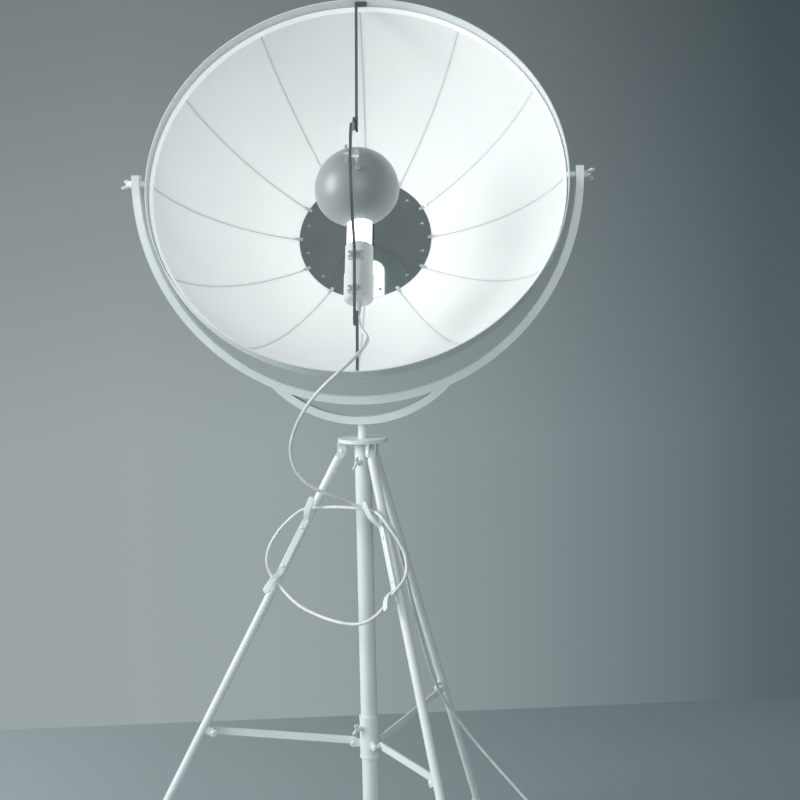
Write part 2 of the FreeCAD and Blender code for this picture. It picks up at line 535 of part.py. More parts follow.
def build_shade(rivets):
    hoop = tube(HOOP_R, HOOP_R - HOOP_T, V(0, -HOOP_DEPTH / 2, 0), V(0, HOOP_DEPTH / 2, 0))
    blocks = []
    bolts = []
    for sign in (-1, 1):
        out = V(sign, 0, 0)
        hoop = hoop.cut(cyl(PIVOT_BOLT_R, out * (HOOP_R - 20), out * (HOOP_R + 20)))
        block = cyl(BLOCK_R, out * (HOOP_R - 8), out * (YOKE_R - YOKE_RADIAL / 2 - GAP))
        block = block.cut(cyl(HOOP_R, V(0, -60, 0), V(0, 60, 0)))
        blocks.append(block.cut(cyl(PIVOT_BOLT_R, out * 300, out * 500)))
        bolt = cyl(PIVOT_BOLT_R, out * (HOOP_R - 4), out * (YOKE_R + YOKE_RADIAL / 2 + 14))
        head = cyl(5.6, out * (HOOP_R - 5), out * (HOOP_R - HOOP_T))
        head = head.cut(tube(HOOP_R + 30, HOOP_R - HOOP_T, V(0, -60, 0), V(0, 60, 0)))
        bolts.append(bolt.fuse(head).removeSplitter())
    for rivet in rivets:
        hoop = hoop.cut(rivet)
    export("rim_hoop", [tilted(hoop)])
    export("pivot_blocks", [tilted(b) for b in blocks])
    export("pivot_bolts", [tilted(b) for b in bolts])

    # the cloth: a shell of revolution from the hub to the hoop, closed at its two edges
    mid_r = 0.5 * (HUB_R + DISH_R)
    inner_r = DISH_R - DISH_CLOTH
    start = HUB_R - 6.0
    outer_arc = Part.Arc(V(start, dish_point(start), 0), V(mid_r, dish_point(mid_r), 0),
                         V(DISH_R, DISH_MOUTH, 0))
    inner_arc = Part.Arc(V(inner_r, DISH_MOUTH, 0), V(mid_r, dish_point(mid_r) - DISH_CLOTH * 1.25, 0),
                         V(start, dish_point(start) - DISH_CLOTH, 0))
    edges = [outer_arc.toShape(),
             Part.makeLine(V(DISH_R, DISH_MOUTH, 0), V(inner_r, DISH_MOUTH, 0)),
             inner_arc.toShape(),
             Part.makeLine(V(start, dish_point(start) - DISH_CLOTH, 0),
                           V(start, dish_point(start), 0))]
    face = Part.Face(Part.Wire(edges))
    cloth = face.revolve(V(0, 0, 0), V(0, 1, 0), 360)
    export("shade_cloth", [tilted(cloth)])

    ribs = []
    mouth_r = DISH_R - 2.0
    rib_arc = Part.Arc(V(HUB_R - 10, dish_point(HUB_R - 10) + RIB_R + GAP, 0),
                       V(mid_r, dish_point(mid_r) + RIB_R + 1.2, 0),
                       V(mouth_r + 1.0, DISH_MOUTH + 12.0, 0))
    for index in range(HUB_SCREWS):
        wire = Part.Wire([rib_arc.toShape()])
        begin = rib_arc.StartPoint
        tangent = rib_arc.tangent(rib_arc.FirstParameter)[0]
        ring = Part.Wire([Part.makeCircle(RIB_R, begin, tangent)])
        rib = wire.makePipeShell([ring], True, False)
        rib.rotate(V(0, 0, 0), V(0, 1, 0), 360.0 / HUB_SCREWS * index)
        ribs.append(rib)
    ribs = [r.cut(cloth).cut(hoop) for r in ribs]
    ribs = [max(r.Solids, key=lambda s: s.Volume) for r in ribs]

    mirror_y = dish_point(HUB_R) - DISH_CLOTH - GAP - HUB_T
    mirror = Part.makeCylinder(HUB_R, HUB_T, V(0, mirror_y, 0), V(0, 1, 0))
    back_y = dish_point(HUB_R - 10) + 2 * RIB_R + 2 * GAP
    back = Part.makeCylinder(HUB_R, 2.0, V(0, back_y, 0), V(0, 1, 0))
    screws = []
    for index in range(HUB_SCREWS):
        ang = math.radians(360.0 / HUB_SCREWS * (index + 0.5))
        at = V(math.cos(ang), 0, math.sin(ang)) * (HUB_R - 15.0)
        shank = cyl(1.6, at + V(0, mirror_y - 0.5, 0), at + V(0, back_y + 3.0, 0))
        head = framed(dome_head(3.4, 1.6, 1.6, 0.5), at + V(0, mirror_y, 0), V(1, 0, 0),
                      V(0, -1, 0))
        nut = cyl(3.2, at + V(0, back_y + 2.0, 0), at + V(0, back_y + 4.2, 0))
        screws.append(shank.fuse([head, nut]).removeSplitter())
        mirror = mirror.cut(shank)
        back = back.cut(shank)
    export("hub_mirror", [tilted(mirror)])
    export("hub_back_plate", [tilted(back)])
    export("hub_screws", [tilted(s) for s in screws])
    export("shade_ribs", [tilted(r) for r in ribs])


def in_bar_frame(shape):
    """From a bar drawn along +X, bowing to +Y and thick in Z, to the shade's own frame."""
    bar = framed(shape, V(0, 0, 0), V(0, 0, 1), V(1, 0, 0))
    return leaned(bar)


def leaned(shape):
    """Lean a piece of the bar in the rim plane and set it beside the middle."""
    bar = shape.copy()
    bar.rotate(V(0, 0, 0), V(0, 1, 0), BAR_ROLL * -1)
    bar.translate(V(BAR_U, 0, 0))
    return bar


def build_bar():
    """Straight ends, the bow that laps their left side, and the screws and rivets."""
    end = HOOP_R - HOOP_T
    right = BAR_T / 2
    rim = cyl(end, V(0, -60, 0), V(0, 60, 0))
    ends = []
    rivets = []
    for lap, sign in ((BAR_JOINTS[0] - BAR_LAP, 1), (BAR_JOINTS[1] + BAR_LAP, -1)):
        bar = strip([(sign * (end + 5), BAR_N), (lap, BAR_N)], BAR_DEPTH, -right, right)
        low_z = end - BAR_FOOT_T if sign > 0 else -end - 12 + BAR_FOOT_T
        foot = leaned(Part.makeBox(RIVET_U + 8, BAR_DEPTH, 12,
                                   V(0, -BAR_N - BAR_DEPTH / 2, low_z)))
        ends.append(in_bar_frame(bar).fuse(foot).common(rim).removeSplitter())
        rivet = framed(dome_head(3.6, 1.8, 1.8, HOOP_T + 2.0),
                       V(RIVET_U, -BAR_N, sign * (HOOP_R - 0.35)),
                       V(1, 0, 0), V(0, 0, sign))
        rivets.append(leaned(rivet))
    bow = in_bar_frame(strip(BOW_PATH, BAR_DEPTH, -right - BAR_T, -right))
    screws = []
    for v in BAR_JOINTS:
        screw = dome_head(3.6, 1.8, 1.8, 2 * BAR_T + 1.0)
        screws.append(leaned(framed(screw, V(right, -BAR_N, v), V(0, 1, 0), V(1, 0, 0))))
    return ends, bow, screws, rivets


def build_cap(bow):
    """Cap on its threaded rod, the block that clamps the rod to the bow, and the wing nut."""
    middle = V(CAP_U, -LAMP_N, 0)
    ball = Part.makeSphere(CAP_R, middle)
    cap = ball.cut(Part.makeSphere(CAP_R - CAP_T, middle))
    cap = cap.cut(Part.makeBox(400, 200, 400, V(-200, -LAMP_N, -200)))
    lamp = V(LAMP_U, -LAMP_N, 0)
    cap = cap.cut(cyl(NOTCH_R, lamp + V(0, 0, -40), lamp + V(0, 0, -200)))
    rod_from = -LAMP_N - CAP_R
    rod = cyl(ROD_R, V(ROD_U, rod_from + 6, 0), V(ROD_U, -ROD_OUT, 0))
    inner_nut = cyl(6.0, V(ROD_U, rod_from + 7, 0), V(ROD_U, rod_from, 0))
    inner_nut = inner_nut.common(Part.makeSphere(CAP_R - CAP_T, middle))
    outer_nut = cyl(5.5, V(ROD_U, rod_from + 3, 0), V(ROD_U, rod_from - 5, 0)).cut(ball)
    cap = cap.cut(cyl(ROD_R, V(ROD_U, 0, 0), V(ROD_U, -200, 0)))
    rod = rod.fuse([inner_nut, outer_nut]).removeSplitter()
    face = BAR_U - BAR_T / 2
    half = CLAMP_BLOCK / 2
    block = Part.makeBox(ROD_U + half - face, CLAMP_BLOCK, CLAMP_BLOCK,
                         V(face, -BOW_N - half, -half))
    block = block.cut(leaned(bow_solid()))
    block = block.cut(cyl(ROD_R + FIT, V(ROD_U, 0, 0), V(ROD_U, -200, 0)))
    left = face - BAR_T
    bolt = cyl(CLAMP_BOLT_R, V(ROD_U - ROD_R - 1.0, -BOW_N, 0), V(left - 11.0, -BOW_N, 0))
    bolt = bolt.fuse(block).removeSplitter()
    bow = bow.cut(cyl(CLAMP_BOLT_R, V(face + 2, -BOW_N, 0), V(left - 4, -BOW_N, 0)))
    nut = wing_nut(CLAMP_BOLT_R + FIT, 6.5, 7.0, 20.0, 8.5, 2.6)
    nut = framed(nut, V(left - GAP, -BOW_N, 0), V(0, 0, 1), V(-1, 0, 0))
    export("cap_shield", [tilted(cap)])
    export("cap_rod", [tilted(rod)])
    export("cap_clamp", [tilted(bolt)])
    export("cap_wing_nut", [tilted(nut)])
    return bow


def bow_solid():
    right = BAR_T / 2
    bow = strip(BOW_PATH, BAR_DEPTH, -right - BAR_T, -right)
    return framed(bow, V(0, 0, 0), V(0, 0, 1), V(1, 0, 0))


def at_lamp(shape):
    moved = shape.copy()
    moved.translate(V(LAMP_U, -LAMP_N, 0))
    return moved


def build_lampholder():
    """Body with its bulb socket, the wider base with the cord's gland, and the brackets."""
    body = Part.makeCylinder(HOLDER_R, HOLDER_TOP - HOLDER_STEP, V(0, 0, HOLDER_STEP))
    body = body.makeFillet(2.0, [body.Edges[0]])
    body = body.cut(Part.makeCylinder(HOLDER_BORE_R, 60, V(0, 0, HOLDER_TOP - 50)))
    low = Part.makeCylinder(HOLDER_LOW_R, HOLDER_STEP - HOLDER_BOTTOM, V(0, 0, HOLDER_BOTTOM))
    low = low.makeFillet(9.0, [low.Edges[2]])
    low = low.cut(Part.makeCylinder(HOLDER_LOW_R - 4, HOLDER_STEP - HOLDER_BOTTOM - 12,
                                    V(0, 0, HOLDER_BOTTOM + 6)))
    gland = Part.makeCone(GLAND_TIP_R, 7.0, GLAND_LEN, V(0, 0, HOLDER_BOTTOM - GLAND_LEN))
    gland = gland.fuse(Part.makeCylinder(4.0, 10, V(0, 0, HOLDER_BOTTOM))).removeSplitter()
    low = low.cut(gland)
    body = at_lamp(body)
    low = at_lamp(low)
    bar_back = -BAR_N + BAR_DEPTH / 2
    brackets = []
    screws = []
    for v in HOLDER_SCREWS:
        whole = Part.makeBox(30, 14, 14, V(-15, bar_back, v - 7))
        brackets.append(whole.cut(body).cut(low))
        for side in (-11.0, 9.0):
            at = V(side, bar_back, v)
            screw = framed(dome_head(3.2, 1.6, 1.6, 14), at, V(1, 0, 0), V(0, -1, 0))
            screws.append(screw)
    for screw in screws:
        brackets = [b.cut(screw) for b in brackets]
        body = body.cut(screw)
        low = low.cut(screw)
    brackets = [max(b.Solids, key=lambda s: s.Volume) for b in brackets]
    export("lampholder_body", [tilted(body)])
    export("lampholder_base", [tilted(low)])
    export("lampholder_brackets", [tilted(b) for b in brackets])
    export("cord_gland", [tilted(at_lamp(gland))])
    return screws


def build_bulb():
    glass_low = HOLDER_TOP + 3.0
    dome = BULB_TOP - BULB_R
    glass = Part.makeCylinder(BULB_R, dome - glass_low, V(0, 0, glass_low))
    glass = glass.fuse(Part.makeSphere(BULB_R, V(0, 0, dome))).removeSplitter()
    hollow = Part.makeCylinder(BULB_R - 1.2, dome - glass_low - 1.2, V(0, 0, glass_low + 1.2))
    hollow = hollow.fuse(Part.makeSphere(BULB_R - 1.2, V(0, 0, dome)))
    export("bulb_glass", [tilted(at_lamp(glass.cut(hollow.removeSplitter())))])
    base = Part.makeCylinder(HOLDER_BORE_R - 1.0, 38, V(0, 0, glass_low - 38))
    base = base.fuse(Part.makeCone(5.0, 16.0, 8.0, V(0, 0, glass_low - 46)))
    export("bulb_base", [tilted(at_lamp(base.removeSplitter()))])
    mount = Part.makeCylinder(3.0, 70, V(0, 0, glass_low + 1.2))
    mount = mount.fuse(Part.makeCylinder(9.0, 60, V(0, 0, glass_low + 65)))
    export("bulb_burner", [tilted(at_lamp(mount.removeSplitter()))])


def build_lamp_parts():
    """Everything on the cross bar; returns the rivets that the hoop takes."""
    ends, bow, screws, rivets = build_bar()
    bow = build_cap(bow)
    holder_screws = build_lampholder()
    build_bulb()
    for piece in screws + rivets:
        ends = [e.cut(piece) for e in ends]
        bow = bow.cut(piece)
    export("bar_ends", [tilted(e) for e in ends])
    export("bar_bow", [tilted(bow)])
    export("bar_screws", [tilted(s) for s in screws + holder_screws + rivets])
    return rivets


# ---- cord ----
def rounded_path(points, label):
    """Straight runs joined by tangent arcs; each arc takes 0.45 of its shorter run."""
    pts = [V(*p) for p in points]
    edges = []
    here = pts[0]
    smallest = 1e9
    for before, at, after in zip(pts[:-2], pts[1:-1], pts[2:]):
        back = (before - at)
        ahead = (after - at)
        cut = 0.45 * min(back.Length, ahead.Length)
        back.normalize()
        ahead.normalize()
        turn = math.pi - back.getAngle(ahead)
        radius = cut / math.tan(turn / 2)
        smallest = min(smallest, radius)
        first = at + back * cut
        last = at + ahead * cut
        bisector = (back + ahead).normalize()
        reach = radius / math.cos(turn / 2) - radius
        edges.append(Part.makeLine(here, first))
        edges.append(Part.Arc(first, at + bisector * reach, last).toShape())
        here = last
    edges.append(Part.makeLine(here, pts[-1]))
    print("%s: smallest radius %.1f, %d points" % (label, smallest, len(pts)))
    return edges


def sweep(edges, direction, label):
    wire = Part.Wire(edges)
    start = edges[0].Vertexes[0].Point
    ring = Part.Wire([Part.makeCircle(CORD_D / 2, start, direction)])
    solid = wire.makePipeShell([ring], True, False)
    if solid.Volume < 0:
        solid.reverse()
    ratio = solid.Volume / (math.pi * CORD_D ** 2 / 4 * wire.Length)
    print("%s: length %.1f, volume over section times length %.4f" % (label, wire.Length, ratio))
    return solid


def cord_tube(name, points):
    edges = rounded_path(points, name)
    direction = V(*points[1]) - V(*points[0])
    export(name, [sweep(edges, direction, name)])


def biarc(p0, t0, p1, t1):
    """Two tangent arcs from p0 along t0 to p1 along t1."""
    v = p1 - p0
    t = t0 + t1
    k = 2 * (1 - t0.dot(t1))
    if k < 1e-9:
        return [Part.makeLine(p0, p1)]
    d = (-v.dot(t) + math.sqrt(v.dot(t) ** 2 + k * v.dot(v))) / k
    joint = (p0 + p1 + (t0 - t1) * d) * 0.5
    out = []
    for start, end, tangent in ((p0, joint, t0), (joint, p1, None)):
        chord = end - start
        unit = V(chord).normalize()
        base = tangent if tangent is not None else t1
        side = (base - unit * base.dot(unit))
        angle = base.getAngle(unit)
        if tangent is None:
            side = side * -1
        side.normalize()
        bulge = chord.Length / 2 * math.tan(angle / 2)
        out.append(Part.Arc(start, start + chord * 0.5 + side * bulge, end).toShape())
    return out


def coil_point(turns):
    """Point and direction of the coil after so many turns: in, out, in and out, rising between."""
    per_layer = COIL_TURNS / COIL_LAYERS
    layer = min(int(turns / per_layer), COIL_LAYERS - 1)
    inside = turns - layer * per_layer
    if layer % 2 == 0:
        radius = COIL_R0 - COIL_PITCH * inside
    else:
        radius = COIL_R0 - COIL_PITCH * (per_layer - inside)
    z = CORD_D / 2
    for step in range(1, COIL_LAYERS):
        part = (turns - (step * per_layer - 0.25)) / 0.5
        part = min(1.0, max(0.0, part))
        z += COIL_PITCH * (part * part * (3 - 2 * part))
    ang = -2 * math.pi * turns
    return V(COIL_C[0] + radius * math.cos(ang), COIL_C[1] + radius * math.sin(ang), z)


def build_cord():
    cord_tube("cord_drop", DROP)
    cord_tube("cord_loop", LOOP)
    cord_tube("cord_run", RUN)
    start = V(*RUN[-1])
    begin = coil_point(0.0)
    down = V(0, -1, 0)
    edges = [Part.makeLine(start, begin)]
    steps = int(COIL_TURNS * 4)
    eps = 1e-3
    tangents = []
    for index in range(steps + 1):
        turns = COIL_TURNS * index / steps
        ahead = coil_point(min(turns + eps, COIL_TURNS))
        behind = coil_point(max(turns - eps, 0.0))
        tangents.append((ahead - behind).normalize())
    tangents[0] = down
    tangents[-1] = V(0, -1, 0)
    spots = [coil_point(COIL_TURNS * i / steps) for i in range(steps + 1)]
    for index in range(steps):
        edges += biarc(spots[index], tangents[index], spots[index + 1], tangents[index + 1])
    tail = V(spots[-1].x, spots[-1].y - TAIL_LEN, PLUG_R)
    edges += biarc(spots[-1], down, tail, down)
    end = tail + down * CORD_D
    edges.append(Part.makeLine(tail, end))
    export("cord_coil", [sweep(edges, down, "cord_coil")])
    samples = []
    length = 0.0
    for edge in edges:
        for k in range(12):
            samples.append((length + edge.Length * k / 12.0,
                            edge.valueAt(edge.FirstParameter
                                         + (edge.LastParameter - edge.FirstParameter) * k / 12.0)))
        length += edge.Length
    least = min((a[1] - b[1]).Length for i, a in enumerate(samples) for b in samples[i:]
                if b[0] - a[0] > 3 * CORD_D * 2)
    print("cord_coil: least gap to itself %.2f" % (least - CORD_D))

    body = Part.makeCylinder(PLUG_R, PLUG_LEN - 14, V(0, 0, 14))
    body = body.fuse(Part.makeCone(9.0, PLUG_R, 14.0))
    body = body.fuse(Part.makeCone(4.6, 6.5, 22.0, V(0, 0, -22))).removeSplitter()
    body = body.cut(Part.makeBox(80, 80, 200, V(-40, -PLUG_R - 80 + 0.2, -60)))
    pins = [Part.makeCylinder(2.4, 19, V(x, 0, PLUG_LEN)) for x in (-9.5, 9.5)]
    origin = end + down * 22.0
    place = [framed(p, origin, V(1, 0, 0), down) for p in [body] + pins]
    export("plug", place)


build_post()
for leg in LEG_AZIMUTHS:
    build_leg(leg)
    build_strut(leg)
build_sleeve()
build_yoke()
build_shade(build_lamp_parts())
build_cord()
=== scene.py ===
"""Tripod spotlight floor lamp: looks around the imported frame. Metres, +Z up."""

import json
import math

import bpy
import numpy as np
from mathutils import Matrix, Vector


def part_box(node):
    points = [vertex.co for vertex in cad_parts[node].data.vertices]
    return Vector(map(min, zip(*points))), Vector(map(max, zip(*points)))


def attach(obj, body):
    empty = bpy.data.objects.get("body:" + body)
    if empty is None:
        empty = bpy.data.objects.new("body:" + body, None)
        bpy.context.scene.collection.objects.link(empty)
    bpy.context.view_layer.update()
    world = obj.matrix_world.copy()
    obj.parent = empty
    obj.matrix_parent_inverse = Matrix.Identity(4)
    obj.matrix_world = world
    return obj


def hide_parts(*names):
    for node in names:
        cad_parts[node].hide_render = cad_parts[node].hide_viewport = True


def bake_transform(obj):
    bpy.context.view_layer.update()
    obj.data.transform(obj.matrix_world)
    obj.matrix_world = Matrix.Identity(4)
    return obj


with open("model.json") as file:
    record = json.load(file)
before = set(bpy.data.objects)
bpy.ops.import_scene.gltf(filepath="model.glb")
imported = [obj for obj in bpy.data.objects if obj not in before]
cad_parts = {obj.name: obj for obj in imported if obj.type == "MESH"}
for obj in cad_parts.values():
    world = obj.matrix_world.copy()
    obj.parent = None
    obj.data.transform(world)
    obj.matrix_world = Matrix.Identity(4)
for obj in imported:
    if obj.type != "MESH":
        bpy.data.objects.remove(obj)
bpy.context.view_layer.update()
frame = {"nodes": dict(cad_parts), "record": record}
NODES = frame["nodes"]
PLATE_LOW, PLATE_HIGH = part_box("head_plate")
POLE_X = (PLATE_LOW.x + PLATE_HIGH.x) / 2       # the pole's axis stands here, at y = 0
FULL_TURN = 2 * math.pi


def shown(name, data):
    """An object with that data, in the scene."""
    made = bpy.data.objects.new(name, data)
    bpy.context.scene.collection.objects.link(made)
    return made


# ---- camera: its place, its right and up, and its lens and sensor in mm ----
CAMERA_AT = (POLE_X + 0.2102, -2.9034, 1.3576)
CAMERA_RIGHT = Vector((0.9988345, 0.0436488, -0.0206014))
CAMERA_UP = Vector((0.0159532, 0.1042839, 0.9944196))
CAMERA_LENS = 65.38
CAMERA_SENSOR = 36.0
CAMERA_REACH = 100.0


def make_camera():
    data = bpy.data.cameras.new("view")
    camera = shown("view", data)
    back = CAMERA_RIGHT.cross(CAMERA_UP)
    turn = Matrix((CAMERA_RIGHT, CAMERA_UP, back)).transposed()
    camera.matrix_world = Matrix.Translation(CAMERA_AT) @ turn.to_4x4()
    data.sensor_width = CAMERA_SENSOR
    data.lens = CAMERA_LENS
    data.clip_end = CAMERA_REACH
    bpy.context.scene.camera = camera


make_camera()
bpy.context.scene.view_settings.view_transform = "Standard"


# ---- mesh helpers ----
def put(name, points, faces, uv=None, smooth=True):
    """A mesh from an (n, 3) array of points and one row of point numbers per face; uv is one
    pair per point."""
    mesh = bpy.data.meshes.new(name)
    rows = faces if isinstance(faces, list) else np.asarray(faces, int).tolist()
    mesh.from_pydata(np.asarray(points, float).tolist(), [], rows)
    if uv is not None:
        layer = mesh.uv_layers.new(name="UVMap")
        loops = np.zeros(len(mesh.loops), np.int32)
        mesh.loops.foreach_get("vertex_index", loops)
        layer.data.foreach_set("uv", np.asarray(uv, np.float32)[loops].ravel())
    mesh.polygons.foreach_set("use_smooth", np.full(len(mesh.polygons), smooth))
    mesh.update()
    return shown(name, mesh)


def grid_faces(rows, columns, around=False):
    """Quads of a rows x columns grid; around closes the columns into a ring."""
    last = columns if around else columns - 1
    i, j = np.meshgrid(np.arange(rows - 1), np.arange(last), indexing="ij")
    k = (j + 1) % columns
    return np.stack([i * columns + j, i * columns + k, (i + 1) * columns + k,
                     (i + 1) * columns + j], -1).reshape(-1, 4)


def closed_faces(rows, columns):
    """Quads of a grid whose rows and columns both close into rings."""
    return grid_faces(rows + 1, columns, around=True) % (rows * columns)


def joined(parts):
    """Several (points, faces, uv) as one."""
    count = np.cumsum([0] + [len(p[0]) for p in parts[:-1]])
    return (np.concatenate([p[0] for p in parts]),
            np.concatenate([p[1] + n for p, n in zip(parts, count)]),
            np.concatenate([p[2] for p in parts]))


def walked(line):
    """The distance along a line of points at each of them."""
    return np.r_[0, np.cumsum(np.linalg.norm(np.diff(line, axis=0), axis=1))]


FIRST_SIDE = (0.3, 0.5, 0.81)       # any direction that no cord starts along


def tube_mesh(path, radius, sides):
    """Rings of one radius round a path, carried along it without twist, open at both ends. The
    tangent is the difference of the neighbours, and each ring's side is the last one's with the
    part along the new tangent taken out."""
    tangent = np.gradient(path, axis=0)
    tangent /= np.linalg.norm(tangent, axis=1)[:, None]
    side = np.zeros_like(path)
    last = np.cross(tangent[0], FIRST_SIDE)
    for i, t in enumerate(tangent):
        last = last - t * last.dot(t)
        last /= np.linalg.norm(last)
        side[i] = last
    third = np.cross(tangent, side)
    angle = np.linspace(0, FULL_TURN, sides, endpoint=False)
    ring = (side[:, None, :] * np.cos(angle)[None, :, None]
            + third[:, None, :] * np.sin(angle)[None, :, None])
    points = (path[:, None, :] + ring * radius).reshape(-1, 3)
    uv = np.stack(np.broadcast_arrays(walked(path)[:, None], angle[None, :] * radius), -1)
    return points, grid_faces(len(path), sides, around=True), uv.reshape(-1, 2)


# ---- cord: route points in mm from the foot of the pole's axis ----
CORD_R = 0.0035
CORD_SIDES = 14
CORD_ON_FLOOR = 3.5         # height of a cord's middle that lies on the floor
DROP = [(4, -90.75, 1233.15), (4, -101.9, 1211.8), (24, -124, 1192), (24, -164, 1180),
        (8, -204, 1162), (-25, -226, 1133), (-62, -223, 1100), (-95, -194, 1061),
        (-121, -157, 1015), (-133, -130, 972), (-124, -118, 929), (-92, -116, 897),
        (-49, -108, 878), (-22, -88, 862), (7, -89, 850), (22.2, -105.4, 846.9),
        (36.6, -123.1, 848.4), (58, -141, 822), (74, -147, 799)]
LOOP = [(81, -150.5, 786), (88, -154, 773), (92, -164, 746), (86, -177, 725),
        (67.7, -186.6, 707.9), (53.9, -173.4, 682.9), (30, -171, 654), (-2, -163, 636),
        (-42, -146, 636), (-86, -114, 642), (-126, -76, 651), (-153, -46, 665),
        (-174.6, -24.9, 684.7), (-194.5, -15.7, 704.2), (-202, -13, 736), (-191, -13, 771),
        (-162, -14, 809), (-122.7, -14.8, 840.4), (-94.1, -22.4, 841.2), (-57, -44, 847),
        (-22, -62, 848), (13.4, -84.8, 848.6), (29.2, -104.1, 843.3), (43.1, -121.5, 840.5),
        (61, -123, 820), (70, -106, 795), (76, -84, 756)]
RUN = [(79, -70, 738), (82, -56, 720), (88, -22, 679), (93, 16, 634), (100, 56, 586),
       (109, 98, 534), (117, 138, 484), (128, 176, 432), (142, 208, 387), (160, 236, 344),
       (185, 257, 302), (215, 268, 257), (253, 268, 210), (296, 260, 162), (341, 246, 113),
       (384, 231, 67), (420, 212, 29), (448, 187, 8), (466, 156, 3.5), (475.5, 122, 3.5),
       (475.5, 89, 3.5)]
TAIL = [(475.5, 60, 26), (475.5, 40, 22), (475.5, 20, 18), (475.5, 13, 18)]
COIL_CENTRE = (428.0, 78.0)
COIL_RADIUS = 47.5
COIL_TURNS = 6
COIL_LAYERS = 4
COIL_PITCH = 7.6
COIL_STEPS = 24             # route points in one turn
COIL_CLIMB = 0.5            # turns in which the cord rises to its next layer

# name, where the stretch starts, its bodies, and the nodes that it stands for. A stretch with two
# bodies stays where it is in the frame, tied to neither; one with a single body rides on it.
CORD_PARTS = [
    ("cord_at_holder", (4, -90.75, 1233.15), "shade", "yoke", ["cord_drop"]),
    ("cord_under_shade", (20, -190, 1168), "yoke", "carrier", ["cord_drop"]),
    ("cord_hanging", (-95, -194, 1061), "carrier", "post", ["cord_drop"]),
    ("cord_to_front_cleat", (-92, -116, 897), "post", "leg_front", ["cord_drop"]),
    ("cord_on_front_cleat", (36.6, -123.1, 846), "leg_front", None, ["cord_drop", "cord_loop"]),
    ("cord_low_front", (53.9, -173.4, 682.9), "leg_front", "post", ["cord_loop"]),
    ("cord_low_left", (-42, -146, 637), "post", "leg_left", ["cord_loop"]),
    ("cord_on_left_cleat", (-174.6, -24.9, 684.7), "leg_left", None, ["cord_loop"]),
    ("cord_high_left", (-122.7, -15.5, 839), "leg_left", "post", ["cord_loop"]),
    ("cord_high_front", (-40, -54, 848), "post", "leg_front", ["cord_loop"]),
    ("cord_over_front_leg", (29.2, -104.1, 843.3), "leg_front", None, ["cord_loop"]),
    ("cord_leaving", (79, -70, 738), "leg_front", "post", ["cord_run"]),
    ("cord_to_floor", (109, 98, 534), "post", None, ["cord_run"]),
    ("cord_in_coil", (475.5, 89, 3.5), "post", None, ["cord_coil"]),
]
SPLINE_ORDER = 3
SPLINE_STEPS = 8            # line points for each route point
SAME_POINT = 1e-5
PASS_GAP = 0.004            # a line this much further off than its nearest is passing the point
PASS_POINTS = 40
SHORTEST_STRETCH = 5        # line points


def from_pole(route):
    """Route points as points of the frame, in metres."""
    return np.array(route, float) / 1000 + (POLE_X, 0, 0)


def coil_route():
    """Turns that wind in, out, in and out again, and rise a cord's pitch where they turn back:
    angle = -2 pi turns, radius = outer - pitch x turns in the layer, or the reverse."""
    per = COIL_TURNS / COIL_LAYERS
    turns = np.arange(0, COIL_TURNS * COIL_STEPS + 1) / COIL_STEPS
    layer = np.minimum((turns / per).astype(int), COIL_LAYERS - 1)
    inside = turns - layer * per
    radius = COIL_RADIUS - COIL_PITCH * np.where(layer % 2 == 0, inside, per - inside)
    height = np.full_like(turns, CORD_ON_FLOOR)
    for step in range(1, COIL_LAYERS):
        part = np.clip((turns - (step * per - COIL_CLIMB / 2)) / COIL_CLIMB, 0, 1)
        height += COIL_PITCH * part * part * (3 - 2 * part)
    angle = -FULL_TURN * turns
    x = COIL_CENTRE[0] + radius * np.cos(angle)
    y = COIL_CENTRE[1] + radius * np.sin(angle)
    return np.stack([x, y, height], -1).tolist()


def cord_line():
    """The whole route as one smooth spline, turned into a line of close points."""
    at = from_pole(DROP + LOOP + RUN + coil_route() + TAIL)
    curve = bpy.data.curves.new("cord_route", "CURVE")
    curve.dimensions = "3D"
    curve.resolution_u = SPLINE_STEPS
    spline = curve.splines.new("NURBS")
    spline.points.add(len(at) - 1)
    spline.points.foreach_set("co", np.c_[at, np.ones(len(at))].ravel())
    spline.order_u = SPLINE_ORDER
    spline.use_endpoint_u = True
    holder = bpy.data.objects.new("cord_route", curve)
    mesh = bpy.data.meshes.new_from_object(holder)
    line = np.array([v.co for v in mesh.vertices], float).reshape(-1, 3)
    bpy.data.objects.remove(holder)
    bpy.data.curves.remove(curve)
    bpy.data.meshes.remove(mesh)
    keep = np.r_[True, np.linalg.norm(np.diff(line, axis=0), axis=1) > SAME_POINT]
    return line[keep]


LINE = cord_line()


def nearest(point, begin):
    """The number of the line's point at its first close pass by a route point, after begin."""
    gap = np.linalg.norm(LINE[begin:] - from_pole(point), axis=1)
    first = np.argmax(gap < gap.min() + PASS_GAP)
    return begin + int(first + np.argmin(gap[first:][:PASS_POINTS]))


def make_cords():
    starts = []
    for _, point, *_ in CORD_PARTS:
        starts.append(nearest(point, starts[-1] + SHORTEST_STRETCH if starts else 0))
    ends = starts[1:] + [len(LINE) - 1]
    along = walked(LINE)
    made = []
    for (name, _, first, second, stands), a, b in zip(CORD_PARTS, starts, ends):
        path = LINE[a:b + 1]
        points, faces, uv = tube_mesh(path, CORD_R, CORD_SIDES)
        uv[:, 0] += along[a]
        piece = put(name, points, faces, uv)
        if second:
            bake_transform(piece)
        else:
            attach(piece, first)
        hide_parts(*stands)
        made.append(piece)
    return made


CORDS = make_cords()

